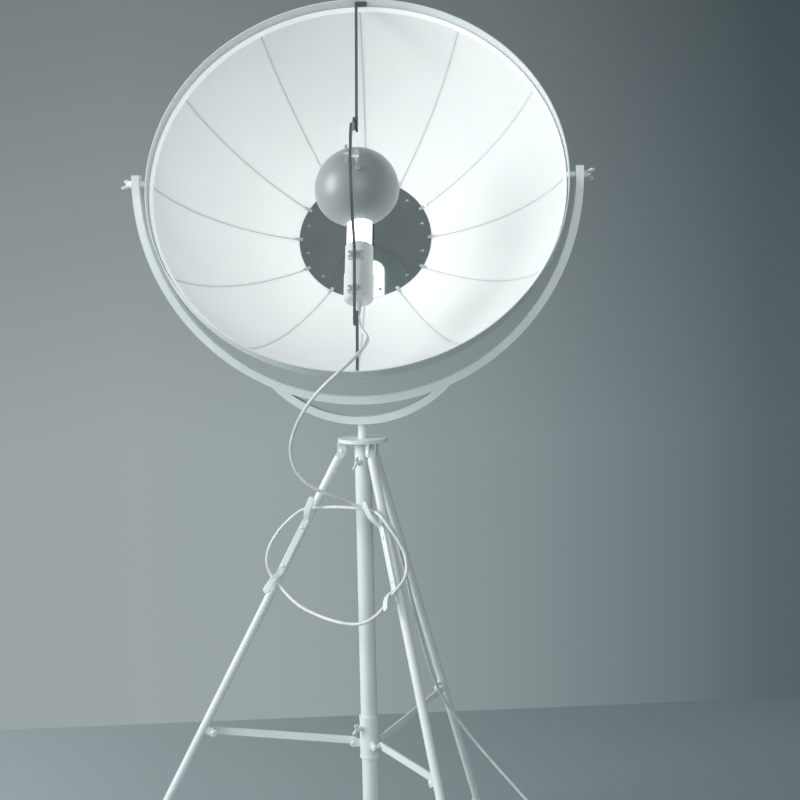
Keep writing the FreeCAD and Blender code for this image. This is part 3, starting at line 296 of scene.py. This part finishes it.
# ---- shade frame: u to the right, back behind the rim plane, v up along the rim plane ----
PIVOT_Z = 1.4963
TILT = math.radians(27.5)
HUB_R = 0.1413
HUB_TUCK = 0.006        # how far the cloth runs in under the hub's edge
HUB_BACK = 0.2508
MOUTH_R = 0.4156
MOUTH_BACK = 0.006
SPHERE = 0.4653
CLOTH = 0.0012
GORES = 12
SAG = 0.0055            # how far the cloth falls in between two ribs
SAG_ALONG = 0.7
SAG_ACROSS = 2.2


def in_shade(u, back, v):
    """Points of the shade's own frame, turned back about the pivots and put at their height."""
    y = back * math.cos(TILT) + v * math.sin(TILT)
    z = -back * math.sin(TILT) + v * math.cos(TILT)
    return np.stack(np.broadcast_arrays(u + POLE_X, y, z + PIVOT_Z), -1)


def beside(radius, side, back, angle):
    """Points at a radius and at a distance to its side, turned round the dish's axis."""
    u = radius * math.cos(angle) - side * math.sin(angle)
    v = radius * math.sin(angle) + side * math.cos(angle)
    return in_shade(u, back, v)


def dish_circle():
    """The circle of radius against depth through the cloth's hub, middle and mouth: its centre,
    its radius, and its angles at the hub and the mouth. Hub and middle lie on the dish's sphere,
    and the mouth at the rim."""
    def on_sphere(r):
        return HUB_BACK - math.sqrt(SPHERE ** 2 - HUB_R ** 2) + math.sqrt(SPHERE ** 2 - r * r)
    r0, r1, r2 = HUB_R - HUB_TUCK, 0.5 * (HUB_R + MOUTH_R), MOUTH_R
    y0, y1, y2 = on_sphere(r0), on_sphere(r1), MOUTH_BACK
    d = 2 * (r0 * (y1 - y2) + r1 * (y2 - y0) + r2 * (y0 - y1))
    a, b, c = r0 * r0 + y0 * y0, r1 * r1 + y1 * y1, r2 * r2 + y2 * y2
    cr = (a * (y1 - y2) + b * (y2 - y0) + c * (y0 - y1)) / d
    cy = (a * (r2 - r1) + b * (r0 - r2) + c * (r1 - r0)) / d
    ball = math.hypot(r0 - cr, y0 - cy)
    return cr, cy, ball, math.atan2(y0 - cy, r0 - cr), math.atan2(y2 - cy, r2 - cr)


DISH_R, DISH_BACK, DISH_BALL, HUB_ANGLE, MOUTH_ANGLE = dish_circle()
ARC_LENGTH = abs(DISH_BALL * (HUB_ANGLE - MOUTH_ANGLE))


def dish_profile(t, off=0.0):
    """Radius and depth of the dish at t from 0 at the hub to 1 at the mouth, off inwards from it:
    its circle, walked at an even angle."""
    angle = HUB_ANGLE + (MOUTH_ANGLE - HUB_ANGLE) * t
    return (DISH_R + (DISH_BALL - off) * np.cos(angle),
            DISH_BACK + (DISH_BALL - off) * np.sin(angle))


def fall(t, across):
    """How far the cloth lies in from the ribs' dish: a flat-bottomed sag across each gore that
    fades at the hub and the mouth, sag = S sin(pi t)^0.7 (1 - |2 across - 1|^2.2)."""
    along = np.sin(math.pi * np.clip(t, 0, 1)) ** SAG_ALONG
    return SAG * along * (1 - np.abs(2 * across - 1) ** SAG_ACROSS)


def on_shade(piece):
    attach(piece, "shade")
    return piece


FABRIC_ROWS = 56
FABRIC_PER_GORE = 20
GORE_UV_SHIFT = 0.23        # so that the weave of one gore doesn't run on into the next


def make_fabric():
    """One cloth of twelve gores: grid of t from hub to mouth and angle round, outer face on the
    dish less the sag, inner face a cloth's thickness further in, both edges closed."""
    columns = GORES * FABRIC_PER_GORE
    t = np.linspace(0, 1, FABRIC_ROWS)[:, None]
    turn = np.arange(columns)[None, :] / FABRIC_PER_GORE
    across = turn % 1.0
    angle = FULL_TURN * turn / GORES
    shells = []
    for extra in (0.0, CLOTH):
        radius, back = dish_profile(t, fall(t, across) + extra)
        shells.append(in_shade(radius * np.cos(angle), back, radius * np.sin(angle)))
    outer, inner = shells
    points = np.concatenate([outer.reshape(-1, 3), inner[::-1].reshape(-1, 3)])
    faces = closed_faces(2 * FABRIC_ROWS, columns)
    radius, _ = dish_profile(t)
    u = (across - 0.5) * radius * FULL_TURN / GORES + np.floor(turn) * GORE_UV_SHIFT
    v = np.broadcast_to(t * ARC_LENGTH, u.shape)
    uv = np.stack([u, v], -1)
    uv = np.concatenate([uv.reshape(-1, 2), uv[::-1].reshape(-1, 2)])
    piece = put("shade_fabric", points, faces[:, ::-1], uv)
    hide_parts("shade_cloth")
    return on_shade(piece)


# a tape's section: shares of its half width and of its lift off the cloth
TAPE_SECTION = np.array([(-1, 0), (-0.7, 1), (0.7, 1), (1, 0), (0.7, -0.1), (-0.7, -0.1)])
TAPE_HALF = 0.0015
TAPE_LIFT = 0.0008
TAPE_FROM, TAPE_TO = 0.03, 0.985
TAPE_ROWS = 48


def make_seams():
    """A flat tape on the inside of the cloth along each seam, open at both ends."""
    side, lift = TAPE_SECTION[:, 0] * TAPE_HALF, TAPE_SECTION[:, 1] * TAPE_LIFT
    t = np.linspace(TAPE_FROM, TAPE_TO, TAPE_ROWS)[:, None]
    radius, back = dish_profile(t, CLOTH + lift[None, :])
    faces = grid_faces(TAPE_ROWS, len(TAPE_SECTION), around=True)
    uv = np.stack(np.broadcast_arrays(t * ARC_LENGTH, side[None, :]), -1).reshape(-1, 2)
    parts = [(beside(radius, side, back, FULL_TURN * k / GORES).reshape(-1, 3), faces, uv)
             for k in range(GORES)]
    return on_shade(put("seam_tapes", *joined(parts)))


STITCH_STEP = 0.004
STITCH_ALONG = np.array([-0.0013, -0.0009, 0.0009, 0.0013])
STITCH_R = 0.00022
STITCH_THICK = np.array([0.05, 1.0, 1.0, 0.05]) * STITCH_R
STITCH_SIDES = 6
STITCH_ROWS = (-0.0036, 0.0036)     # to either side of the seam
STITCH_FROM = 0.045
STITCH_SHARE = 0.93                 # of the seam's length that is counted off in steps
STITCH_SPREAD = 0.98                # of that, what the stitches take up
STITCH_LIFT = 0.0001
MIDDLE_RADIUS = 0.28                # where a row's place across its gore is measured


def make_stitches():
    """Short threads in two rows beside every seam: six-sided barrels, 2.6 mm long every 4 mm."""
    count = int(ARC_LENGTH * STITCH_SHARE / STITCH_STEP)
    t = STITCH_FROM + STITCH_SHARE * (np.arange(count) + 0.5) / count * STITCH_SPREAD
    ring = np.linspace(0, FULL_TURN, STITCH_SIDES, endpoint=False)
    tt = (t[:, None] + STITCH_ALONG[None, :] / ARC_LENGTH)[:, :, None]
    up = STITCH_THICK[None, :, None] * np.sin(ring)
    one = grid_faces(len(STITCH_ALONG), STITCH_SIDES, around=True)
    each = len(STITCH_ALONG) * STITCH_SIDES
    faces = (one[None] + np.arange(count)[:, None, None] * each).reshape(-1, 4)
    parts = []
    for k in range(GORES):
        for row in STITCH_ROWS:
            across = abs(row) * GORES / (FULL_TURN * MIDDLE_RADIUS)
            radius, back = dish_profile(tt, CLOTH + fall(tt, across) + STITCH_LIFT + up)
            side = row + STITCH_THICK[None, :, None] * np.cos(ring)
            points = beside(radius, side, back, FULL_TURN * k / GORES).reshape(-1, 3)
            parts.append((points, faces, np.zeros((len(points), 2))))
    return on_shade(put("seam_stitches", *joined(parts)))


HEM_T = np.linspace(0.972, 0.999, 7)
HEM_OUTER, HEM_INNER = CLOTH + 0.0012, CLOTH + 0.0001
HEM_FOLD = [(MOUTH_R - 0.0022, MOUTH_BACK - 0.0012), (MOUTH_R - 0.0010, MOUTH_BACK - 0.0006)]
HEM_COLUMNS = 480
PUCKERS = 96
PUCKER = 0.00018


def make_hem():
    """The hem round the mouth: a band folded over the edge of the cloth, about 11 mm deep, that
    puckers a little between its lacing points. Its profile is turned round the dish's axis."""
    profile = list(zip(*dish_profile(HEM_T, HEM_OUTER))) + HEM_FOLD
    profile = np.array(profile + list(zip(*dish_profile(HEM_T[::-1], HEM_INNER))))
    angle = np.arange(HEM_COLUMNS)[None, :] * FULL_TURN / HEM_COLUMNS
    radius = profile[:, :1] + PUCKER * np.sin(angle * PUCKERS)
    points = in_shade(radius * np.cos(angle), profile[:, 1:], radius * np.sin(angle))
    uv = np.stack(np.broadcast_arrays(angle * MOUTH_R, walked(profile)[:, None]), -1)
    piece = put("mouth_hem", points.reshape(-1, 3), closed_faces(len(profile), HEM_COLUMNS),
                uv.reshape(-1, 2))
    return on_shade(piece)


# a clip's side view, as distance out from the mirror's edge and height off it
CLIP_SPINE = np.array([(-0.0075, -0.0014), (-0.006, -0.0020), (-0.001, -0.0022),
                       (0.004, -0.0036), (0.008, -0.0056), (0.0095, -0.0068)])
CLIP_HALF = np.array([0.0022, 0.0034, 0.0038, 0.0038, 0.0034, 0.002])
CLIP_THICK = 0.0007
MIRROR_OFF = CLOTH + 0.0023         # the mirror's face from the cloth's depth at the hub


def make_clips():
    """Small spring clips that hold the cloth at the mirror's edge, one at each seam: a bent tab
    with a narrow nose, from a rectangle carried along a short folded path."""
    radius = HUB_R + CLIP_SPINE[:, 0]
    back = dish_profile(0.0)[1] - MIRROR_OFF + CLIP_SPINE[:, 1]
    last = 4 * len(radius)
    ends = [[3, 2, 1, 0], [last - 4, last - 3, last - 2, last - 1]]
    faces = np.concatenate([grid_faces(len(radius), 4, around=True), ends])
    parts = []
    for k in range(GORES):
        corners = [beside(radius, side * CLIP_HALF, back + lift, FULL_TURN * k / GORES)
                   for side, lift in ((-1, 0.0), (-1, -CLIP_THICK), (1, -CLIP_THICK), (1, 0.0))]
        parts.append((np.stack(corners, 1).reshape(-1, 3), faces, np.zeros((last, 2))))
    return on_shade(put("mirror_clips", *joined(parts), smooth=False))


# ---- cleats on the legs, each in its leg's own frame: mm down the leg and out from its axis ----
LEG_TILT = math.radians(27.7)
HINGE_OUT = 0.0422
HINGE_Z = 0.954
# each leg's azimuth, the side that its cleat faces, and the cleat's turn outwards from there
CLEAT_LEGS = {"left": (180.0, 1, 15.0), "front": (295.0, -1, 18.0)}
CLEAT_PATH = np.array([(104, 42), (114, 40.5), (128, 36.5), (141, 29.5), (150, 18), (156, 10.6),
                       (166, 10.6), (274, 10.6), (283, 10.6), (287, 19), (293, 29), (302, 36),
                       (314, 40), (324, 41.5)]) / 1000
CLEAT_HALF_WIDTH = 0.007
CLEAT_HALF_THICK = 0.0015
CLEAT_END = 0.008           # run at either end that is cut more finely
CLEAT_END_STEPS = 10
CLEAT_STEPS = 120
CLEAT_SIDES = 20
CLEAT_CORNERS = (0.35, 0.55)        # powers that square the section's width and thickness
CLEAT_NARROWEST = 0.001
CUT_PASSES = 4


def softened(line):
    """Corners cut again and again at a quarter and three quarters of each run, ends kept."""
    for _ in range(CUT_PASSES):
        a, b = line[:-1], line[1:]
        cut = np.stack([0.75 * a + 0.25 * b, 0.25 * a + 0.75 * b], 1).reshape(-1, 2)
        line = np.concatenate([line[:1], cut, line[-1:]])
    return line


def cleat_line():
    """The softened side view at even steps, finer at its ends, and the run at each point."""
    line = softened(CLEAT_PATH)
    run = walked(line)
    even = np.r_[np.linspace(0, CLEAT_END, CLEAT_END_STEPS)[:-1],
                 np.linspace(CLEAT_END, run[-1] - CLEAT_END, CLEAT_STEPS),
                 np.linspace(run[-1] - CLEAT_END, run[-1], CLEAT_END_STEPS)[1:]]
    return np.stack([np.interp(even, run, line[:, k]) for k in (0, 1)], -1), even


def squared(wave, power):
    return np.sign(wave) * np.abs(wave) ** power


def make_cleat(name):
    """A strap with two curled horns and full-round ends: a rounded bar section carried along the
    softened side view, half width = W sqrt(1 - (1 - d / W)^2) within W of either end."""
    azimuth, sign, turned = CLEAT_LEGS[name]
    a, b = math.radians(azimuth), math.radians(turned)
    radial = np.array([math.cos(a), math.sin(a), 0])
    tangent = np.array([-math.sin(a), math.cos(a), 0]) * sign
    up = np.array([0, 0, 1.0])
    down = radial * math.sin(LEG_TILT) - up * math.cos(LEG_TILT)
    outer = radial * math.cos(LEG_TILT) + up * math.sin(LEG_TILT)
    face = tangent * math.cos(b) + outer * math.sin(b)
    hinge = radial * HINGE_OUT + up * HINGE_Z + (POLE_X, 0, 0)
    line, run = cleat_line()
    way = np.gradient(line, axis=0)
    way /= np.linalg.norm(way, axis=1)[:, None]
    normal = np.stack([-way[:, 1], way[:, 0]], -1)
    edge = np.clip(np.minimum(run, run[-1] - run) / CLEAT_HALF_WIDTH, CLEAT_NARROWEST, 1)
    half = CLEAT_HALF_WIDTH * np.sqrt(1 - (1 - edge) ** 2)
    ring = np.linspace(0, FULL_TURN, CLEAT_SIDES, endpoint=False)
    wide = half[:, None] * squared(np.cos(ring), CLEAT_CORNERS[0])
    lift = CLEAT_HALF_THICK * squared(np.sin(ring), CLEAT_CORNERS[1])[None, :]
    s = line[:, :1] + normal[:, :1] * lift
    m = line[:, 1:] + normal[:, 1:] * lift
    across = np.cross(down, face)
    points = hinge + s[..., None] * down + m[..., None] * face + wide[..., None] * across
    faces = grid_faces(len(line), CLEAT_SIDES, around=True).tolist()
    last = len(line) * CLEAT_SIDES
    faces += [list(range(CLEAT_SIDES))[::-1], list(range(last - CLEAT_SIDES, last))]
    piece = put("cleat_hooks_" + name, points.reshape(-1, 3), faces)
    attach(piece, "leg_" + name)
    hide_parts("cleat_" + name)
    return piece


CLEATS = [make_cleat(name) for name in CLEAT_LEGS]


# ---- materials ----
class Shading:
    """A material and its node tree, with short calls for the nodes that are used here."""

    def __init__(self, name):
        self.material = bpy.data.materials.new(name)
        self.material.use_nodes = True
        self.tree = self.material.node_tree
        self.tree.nodes.clear()
        self.out = self.node("OutputMaterial")
        self.coordinates = self.node("TexCoord")

    def node(self, kind, **values):
        made = self.tree.nodes.new("ShaderNode" + kind)
        for key, value in values.items():
            setattr(made, key, value)
        return made

    def link(self, a, b):
        self.tree.links.new(a, b)

    def feed(self, socket, value):
        """Sets a socket to a number or a colour, or links an output to it."""
        if isinstance(value, tuple):
            socket.default_value = (*value, 1)
        elif isinstance(value, (int, float)):
            socket.default_value = value
        else:
            self.link(value, socket)

    def mapped(self, scale=(1, 1, 1), source="Object", turn=(0, 0, 0)):
        mapping = self.node("Mapping")
        mapping.inputs["Scale"].default_value = scale
        mapping.inputs["Rotation"].default_value = turn
        self.link(self.coordinates.outputs[source], mapping.inputs["Vector"])
        return mapping.outputs["Vector"]

    def along(self, source, axis):
        split = self.node("SeparateXYZ")
        self.link(self.coordinates.outputs[source], split.inputs[0])
        return split.outputs[axis]

    def noise(self, vector, scale, detail=3.0, rough=0.5):
        made = self.node("TexNoise")
        made.inputs["Scale"].default_value = scale
        made.inputs["Detail"].default_value = detail
        made.inputs["Roughness"].default_value = rough
        self.link(vector, made.inputs["Vector"])
        return made.outputs["Fac"]

    def wave(self, vector, scale, direction="X"):
        made = self.node("TexWave", bands_direction=direction)
        made.inputs["Scale"].default_value = scale
        self.link(vector, made.inputs["Vector"])
        return made.outputs["Fac"]

    def ramp(self, value, stops):
        made = self.node("ValToRGB")
        for end in (0, -1):
            made.color_ramp.elements[end].position = stops[end][0]
            made.color_ramp.elements[end].color = (*stops[end][1], 1)
        for place, colour in stops[1:-1]:
            made.color_ramp.elements.new(place).color = (*colour, 1)
        self.link(value, made.inputs["Fac"])
        return made.outputs["Color"]

    def math(self, operation, a, b):
        made = self.node("Math", operation=operation)
        self.feed(made.inputs[0], a)
        self.feed(made.inputs[1], b)
        return made.outputs[0]

    def spread(self, value, low, high, start=0.0, stop=1.0):
        """A value that goes from start to stop, mapped so that it goes from low to high."""
        made = self.node("MapRange")
        for key, limit in (("From Min", start), ("From Max", stop), ("To Min", low),
                           ("To Max", high)):
            made.inputs[key].default_value = limit
        self.link(value, made.inputs["Value"])
        return made.outputs["Result"]

    def bump(self, height, strength, distance):
        made = self.node("Bump")
        made.inputs["Strength"].default_value = strength
        made.inputs["Distance"].default_value = distance
        self.link(height, made.inputs["Height"])
        return made.outputs["Normal"]

    def mixed(self, share, first, second):
        """The first shader where the share is 0 and the second where it is 1, as the surface."""
        made = self.node("MixShader")
        self.feed(made.inputs[0], share)
        self.link(first.outputs[0], made.inputs[1])
        self.link(second.outputs[0], made.inputs[2])
        self.link(made.outputs[0], self.out.inputs["Surface"])
        return made

    def principled(self, colour, rough, normal=None, **values):
        made = self.node("BsdfPrincipled")
        self.feed(made.inputs["Base Color"], colour)
        self.feed(made.inputs["Roughness"], rough)
        if normal is not None:
            self.link(normal, made.inputs["Normal"])
        for key, value in values.items():
            self.feed(made.inputs[key.replace("_", " ")], value)
        self.link(made.outputs[0], self.out.inputs["Surface"])
        return made


def tint(colour, factor):
    return tuple(min(1.0, c * factor) for c in colour)


def enamel(name, colour, rough, peel=0.025, grime=0.93, coat=0.25):
    """Powder-coated metal: fine orange peel, slight tone drift, rare tiny chips, uneven gloss."""
    s = Shading(name)
    plain = s.mapped()
    drift = s.noise(plain, 9.0, 4.0)
    chips = s.noise(plain, 170.0, 2.0)
    tone = s.ramp(drift, [(0.3, tint(colour, grime)), (0.6, colour)])
    mask = s.ramp(chips, [(0.80, (0, 0, 0)), (0.815, (1, 1, 1))])
    mix = s.node("Mix", data_type="RGBA")
    share, _, _, _, _, _, first, second = list(mix.inputs)[:8]
    s.link(mask, share)
    s.link(tone, first)
    s.feed(second, tint(colour, 0.62))
    gloss = s.spread(s.noise(plain, 30.0, 5.0), rough - 0.07, rough + 0.09)
    fine = s.noise(plain, 900.0, 2.0)
    s.principled(mix.outputs[2], gloss, s.bump(fine, peel, 0.0003), Coat_Weight=coat,
                 Coat_Roughness=0.3)
    return s.material


def metal(name, colour, rough):
    """Bright plated metal with a fine grain and slight tarnish in its gloss."""
    s = Shading(name)
    plain = s.mapped()
    grain = s.noise(plain, 420.0, 3.0, 0.6)
    tone = s.ramp(s.noise(plain, 22.0, 4.0), [(0.25, tint(colour, 0.82)), (0.7, colour)])
    gloss = s.spread(grain, rough - 0.06, rough + 0.12)
    s.principled(tone, gloss, s.bump(grain, 0.08, 0.0004), Metallic=1.0)
    return s.material


def moulded(name, colour, rough, grain=600.0, depth=0.10, coat=0.0):
    """Moulded plastic, rubber or thread: fine spark-eroded grain over a slow tone drift."""
    s = Shading(name)
    plain = s.mapped()
    tone = s.ramp(s.noise(plain, 14.0), [(0.3, tint(colour, 0.94)), (0.65, colour)])
    fine = s.noise(plain, grain)
    gloss = s.spread(s.noise(plain, 40.0, 4.0), rough - 0.06, rough + 0.08)
    s.principled(tone, gloss, s.bump(fine, depth, 0.0005), Coat_Weight=coat,
                 Coat_Roughness=0.08)
    return s.material


def porcelain():
    """Glazed porcelain: a wet glaze with pin specks and a soft wave."""
    s = Shading("porcelain")
    plain = s.mapped()
    specks = s.ramp(s.noise(plain, 700.0, 1.0),
                    [(0.76, (0.68, 0.715, 0.71)), (0.8, (0.44, 0.46, 0.45))])
    soft = s.noise(plain, 45.0, 2.0)
    s.principled(specks, 0.16, s.bump(soft, 0.12, 0.0012), Coat_Weight=0.6, Coat_Roughness=0.04,
                 Subsurface_Weight=0.08, Subsurface_Scale=0.004)
    return s.material


WEAVE = 190.0               # thread waves per metre of the cloth's UVs
SLUBS = 900, 18             # how fine the slubs are across and along a thread


def cloth(name, colour, painted_glow):
    """Plain weave by the piece's own UVs: two crossed thread waves, slubs along both, thin enough
    for light to come through, and a painted glow: an emission strongest near the hub, standing in
    for the bulb's light on the cloth."""
    s = Shading(name)
    uv = s.mapped(source="UV")
    weave = s.math("MULTIPLY", s.wave(uv, WEAVE, "X"), s.wave(uv, WEAVE, "Y"))
    slubs = s.math("ADD", *[s.noise(s.mapped((*pair, 1), "UV"), 1.0, 2.0)
                            for pair in (SLUBS, SLUBS[::-1])])
    cloudy = s.noise(s.mapped((6, 6, 6)), 1.0)
    mean = s.math("MULTIPLY", s.math("ADD", slubs, cloudy), 0.3333)
    tone = s.ramp(mean, [(0.35, tint(colour, 0.93)), (0.62, colour)])
    height = s.math("ADD", s.math("MULTIPLY", weave, 0.6), s.math("MULTIPLY", slubs, 0.4))
    face = s.principled(tone, 0.82, s.bump(height, 0.22, 0.0003), Sheen_Weight=0.25,
                        Sheen_Roughness=0.5, Emission_Strength=painted_glow)
    # painted glow: the cloth gives off light of its own, full at the hub and half as bright at the
    # mouth, in place of the bulb's light on it
    painted_glow_tone = s.ramp(s.math("DIVIDE", s.along("UV", "Y"), ARC_LENGTH),
                 [(0.0, colour), (0.45, tint(colour, 0.72)), (1.0, tint(colour, 0.5))])
    s.link(painted_glow_tone, face.inputs["Emission Color"])
    through = s.node("BsdfTranslucent")
    s.link(tone, through.inputs["Color"])
    s.mixed(0.22, face, through)
    return s.material


def sheath():
    """Smooth PVC sheath with a faint lay of the cores under it and handling marks."""
    s = Shading("cord_sheath")
    lay = s.wave(s.mapped((1, 1.6, 1), "UV", turn=(0, 0, 0.9)), 26.0, "X")
    marks = s.noise(s.mapped(source="UV"), 60.0, 4.0)
    tone = s.ramp(marks, [(0.3, (0.66, 0.69, 0.70)), (0.6, (0.76, 0.79, 0.79))])
    s.principled(tone, s.spread(marks, 0.34, 0.5), s.bump(lay, 0.05, 0.0003), Coat_Weight=0.15,
                 Coat_Roughness=0.3)
    return s.material


def mirror():
    """Polished sheet: a sharp reflection that is hardly uneven, and a little haze."""
    s = Shading("mirror")
    plain = s.mapped()
    haze = s.noise(plain, 12.0, 4.0)
    uneven = s.noise(plain, 160.0, 2.0)
    tone = s.ramp(haze, [(0.3, (0.33, 0.365, 0.37)), (0.7, (0.38, 0.415, 0.42))])
    s.principled(tone, s.spread(haze, 0.03, 0.07), s.bump(uneven, 0.02, 0.0003), Metallic=1.0)
    return s.material


def opal(name, strength):
    """Opal lamp glass that is lit, with a faint haze in its tone."""
    s = Shading(name)
    haze = s.noise(s.mapped(), 55.0)
    tone = s.ramp(haze, [(0.3, (0.80, 0.83, 0.82)), (0.7, (0.88, 0.90, 0.89))])
    s.principled(tone, 0.12, Coat_Weight=0.5, Coat_Roughness=0.05,
                 Emission_Color=(1.0, 0.99, 0.97), Emission_Strength=strength)
    return s.material


MATERIALS = {
    "white_enamel": enamel("white_enamel", (0.80, 0.845, 0.85), 0.42),
    # painted shade: the cap is white-painted metal, given a dark grey that stands for the shade on
    # its front
    "cap_enamel": enamel("cap_enamel", (0.30, 0.335, 0.34), 0.50, 0.02, 0.96, 0.7),
    "steel": metal("plated_steel", (0.76, 0.79, 0.79), 0.40),
    "black_plastic": moulded("end_plug_plastic", (0.60, 0.63, 0.63), 0.5),
    "grey_plastic": moulded("grey_nylon", (0.42, 0.45, 0.46), 0.48),
    "porcelain": porcelain(),
    "white_rubber": moulded("white_rubber", (0.60, 0.63, 0.63), 0.7, 420.0, 0.2),
    "glass": opal("lit_opal_glass", 3.2),
    "brass": metal("brass_screw_cap", (0.60, 0.52, 0.30), 0.25),
    # the cloth's last number is the strength of its painted glow
    "shade_fabric": cloth("shade_weave", (0.80, 0.825, 0.82), 0.48),
    "mirror": mirror(),
    "white_cord": sheath(),
    "white_plug": moulded("plug_shell", (0.72, 0.75, 0.75), 0.32, 500.0, 0.08, 0.3),
}

FABRIC = make_fabric()
SEAMS = make_seams()
STITCHES = make_stitches()
HEM = make_hem()
CLIPS = make_clips()


def dress(material, *pieces):
    for piece in pieces:
        piece.data.materials.clear()
        piece.data.materials.append(material)


for part in frame["record"]["subparts"]:
    dress(MATERIALS[part["material_slot"]], NODES[part["node"]])
# painted shade: the bar and its bow get a near-black grey that stands for the shade on their edge
# against the lit cloth
dress(enamel("bar_painted_shade", (0.105, 0.12, 0.125), 0.45, 0.04, 0.9, 0.1), NODES["bar_ends"],
      NODES["bar_bow"])
dress(MATERIALS["mirror"], NODES["hub_screws"])
dress(MATERIALS["white_cord"], *CORDS)
dress(MATERIALS["white_enamel"], *CLEATS)
dress(MATERIALS["shade_fabric"], FABRIC, HEM)
dress(moulded("seam_tape", (0.70, 0.73, 0.725), 0.8, 900.0, 0.2), SEAMS)
dress(moulded("thread", (0.66, 0.69, 0.69), 0.7, 1500.0, 0.2), STITCHES)
dress(MATERIALS["steel"], CLIPS)

# ---- stage: a floor and a wall that stands across the view ----
FLOOR_HALF = 9
# painted shade: the floor's and the wall's tones darken from left to right, away from the key lamp
FLOOR_TONES = [(0.0, (0.38, 0.44, 0.45)), (0.5, (0.34, 0.40, 0.41)), (1.0, (0.25, 0.31, 0.33))]
FLOOR_SPAN = (-1.2, 1.4)            # x at the first tone and at the last
WALL_LEFT = (-1.105, 1.114)         # where the wall meets the picture's left edge, and its right
WALL_RIGHT = (1.237, 1.374)
WALL_BEYOND = 9
WALL_BOTTOM, WALL_TOP = -0.01, 7
WALL_TONES = [(0.0, (0.32, 0.365, 0.375)), (0.2, (0.335, 0.385, 0.392)),
              (0.38, (0.314, 0.366, 0.371)), (0.6, (0.24, 0.285, 0.295)),
              (0.77, (0.165, 0.205, 0.22)), (0.91, (0.10, 0.138, 0.15)),
              (1.0, (0.085, 0.118, 0.13))]
WALL_SPAN = (-1.2, 1.35)
# painted shade: the wall's glow dims between these two heights
WALL_DIMS_FROM, WALL_DIMS_TO = 0.8, 2.1     # heights between which the wall grows darker
WALL_DIMMEST = 0.55


def stage_paint_and_shade(name, tones, span, rough):
    """Grey-green matt paint with painted shade: darker from left to right."""
    s = Shading(name)
    tone = s.ramp(s.spread(s.along("Object", "X"), 0.0, 1.0, *span), tones)
    return s, tone, s.principled(tone, rough)


def make_stage():
    """The floor is paint with painted shade, darker to the right. The wall has a fixed tone with
    painted shade, darker to the right and dimmer higher up, for the camera and in gloss and glass,
    gives light like its paint, and is clear from behind."""
    side = FLOOR_HALF
    ground = put("floor", [(-side, -side, 0), (side, -side, 0), (side, side, 0), (-side, side, 0)],
                 [(0, 1, 2, 3)])
    s, _, _ = stage_paint_and_shade("floor_paint", FLOOR_TONES, FLOOR_SPAN, 0.8)
    dress(s.material, ground)
    a, b = np.array(WALL_LEFT), np.array(WALL_RIGHT)
    run = (b - a) / np.linalg.norm(b - a)
    left, right = a - run * WALL_BEYOND, b + run * WALL_BEYOND
    wall = put("backdrop", [(*left, WALL_BOTTOM), (*right, WALL_BOTTOM), (*right, WALL_TOP),
                            (*left, WALL_TOP)], [(0, 1, 2, 3)])
    s, tone, paint = stage_paint_and_shade("wall_paint", WALL_TONES, WALL_SPAN, 0.9)
    sight = s.node("Emission")
    s.link(tone, sight.inputs["Color"])
    s.link(s.spread(s.along("Object", "Z"), 1.0, WALL_DIMMEST, WALL_DIMS_FROM, WALL_DIMS_TO),
           sight.inputs["Strength"])
    rays = s.node("LightPath").outputs
    seen = s.math("MAXIMUM", rays["Is Camera Ray"],
                  s.math("MAXIMUM", rays["Is Glossy Ray"], rays["Is Transmission Ray"]))
    both = s.mixed(seen, paint, sight)
    s.mixed(s.node("NewGeometry").outputs["Backfacing"], both, s.node("BsdfTransparent"))
    dress(s.material, wall)


make_stage()

# name, place, the point it is aimed at, its two sizes and its power in watts
LAMPS = [
    ("key", (-3.6, -1.2, 2.3), (0, 0, 1.1), (2.0, 2.4), 135),
    ("front", (0.6, -4.4, 2.6), (0, 0, 1.2), (2.4, 2.0), 40),
    ("back", (2.6, 2.2, 2.9), (0, 0, 1.4), (1.2, 1.6), 26),
]
WORLD_COLOUR = (0.40, 0.45, 0.46, 1)
WORLD_STRENGTH = 0.85


def lamp(name, at, aim, size, power):
    data = bpy.data.lights.new(name, "AREA")
    data.shape = "RECTANGLE"
    data.size, data.size_y = size
    data.energy = power
    light = shown(name, data)
    light.location = at
    light.rotation_euler = (Vector(aim) - Vector(at)).to_track_quat("-Z", "Y").to_euler()


for row in LAMPS:
    lamp(*row)
world = bpy.data.worlds.new("studio")
bpy.context.scene.world = world
world.use_nodes = True
background = world.node_tree.nodes["Background"]
background.inputs["Color"].default_value = WORLD_COLOUR
background.inputs["Strength"].default_value = WORLD_STRENGTH
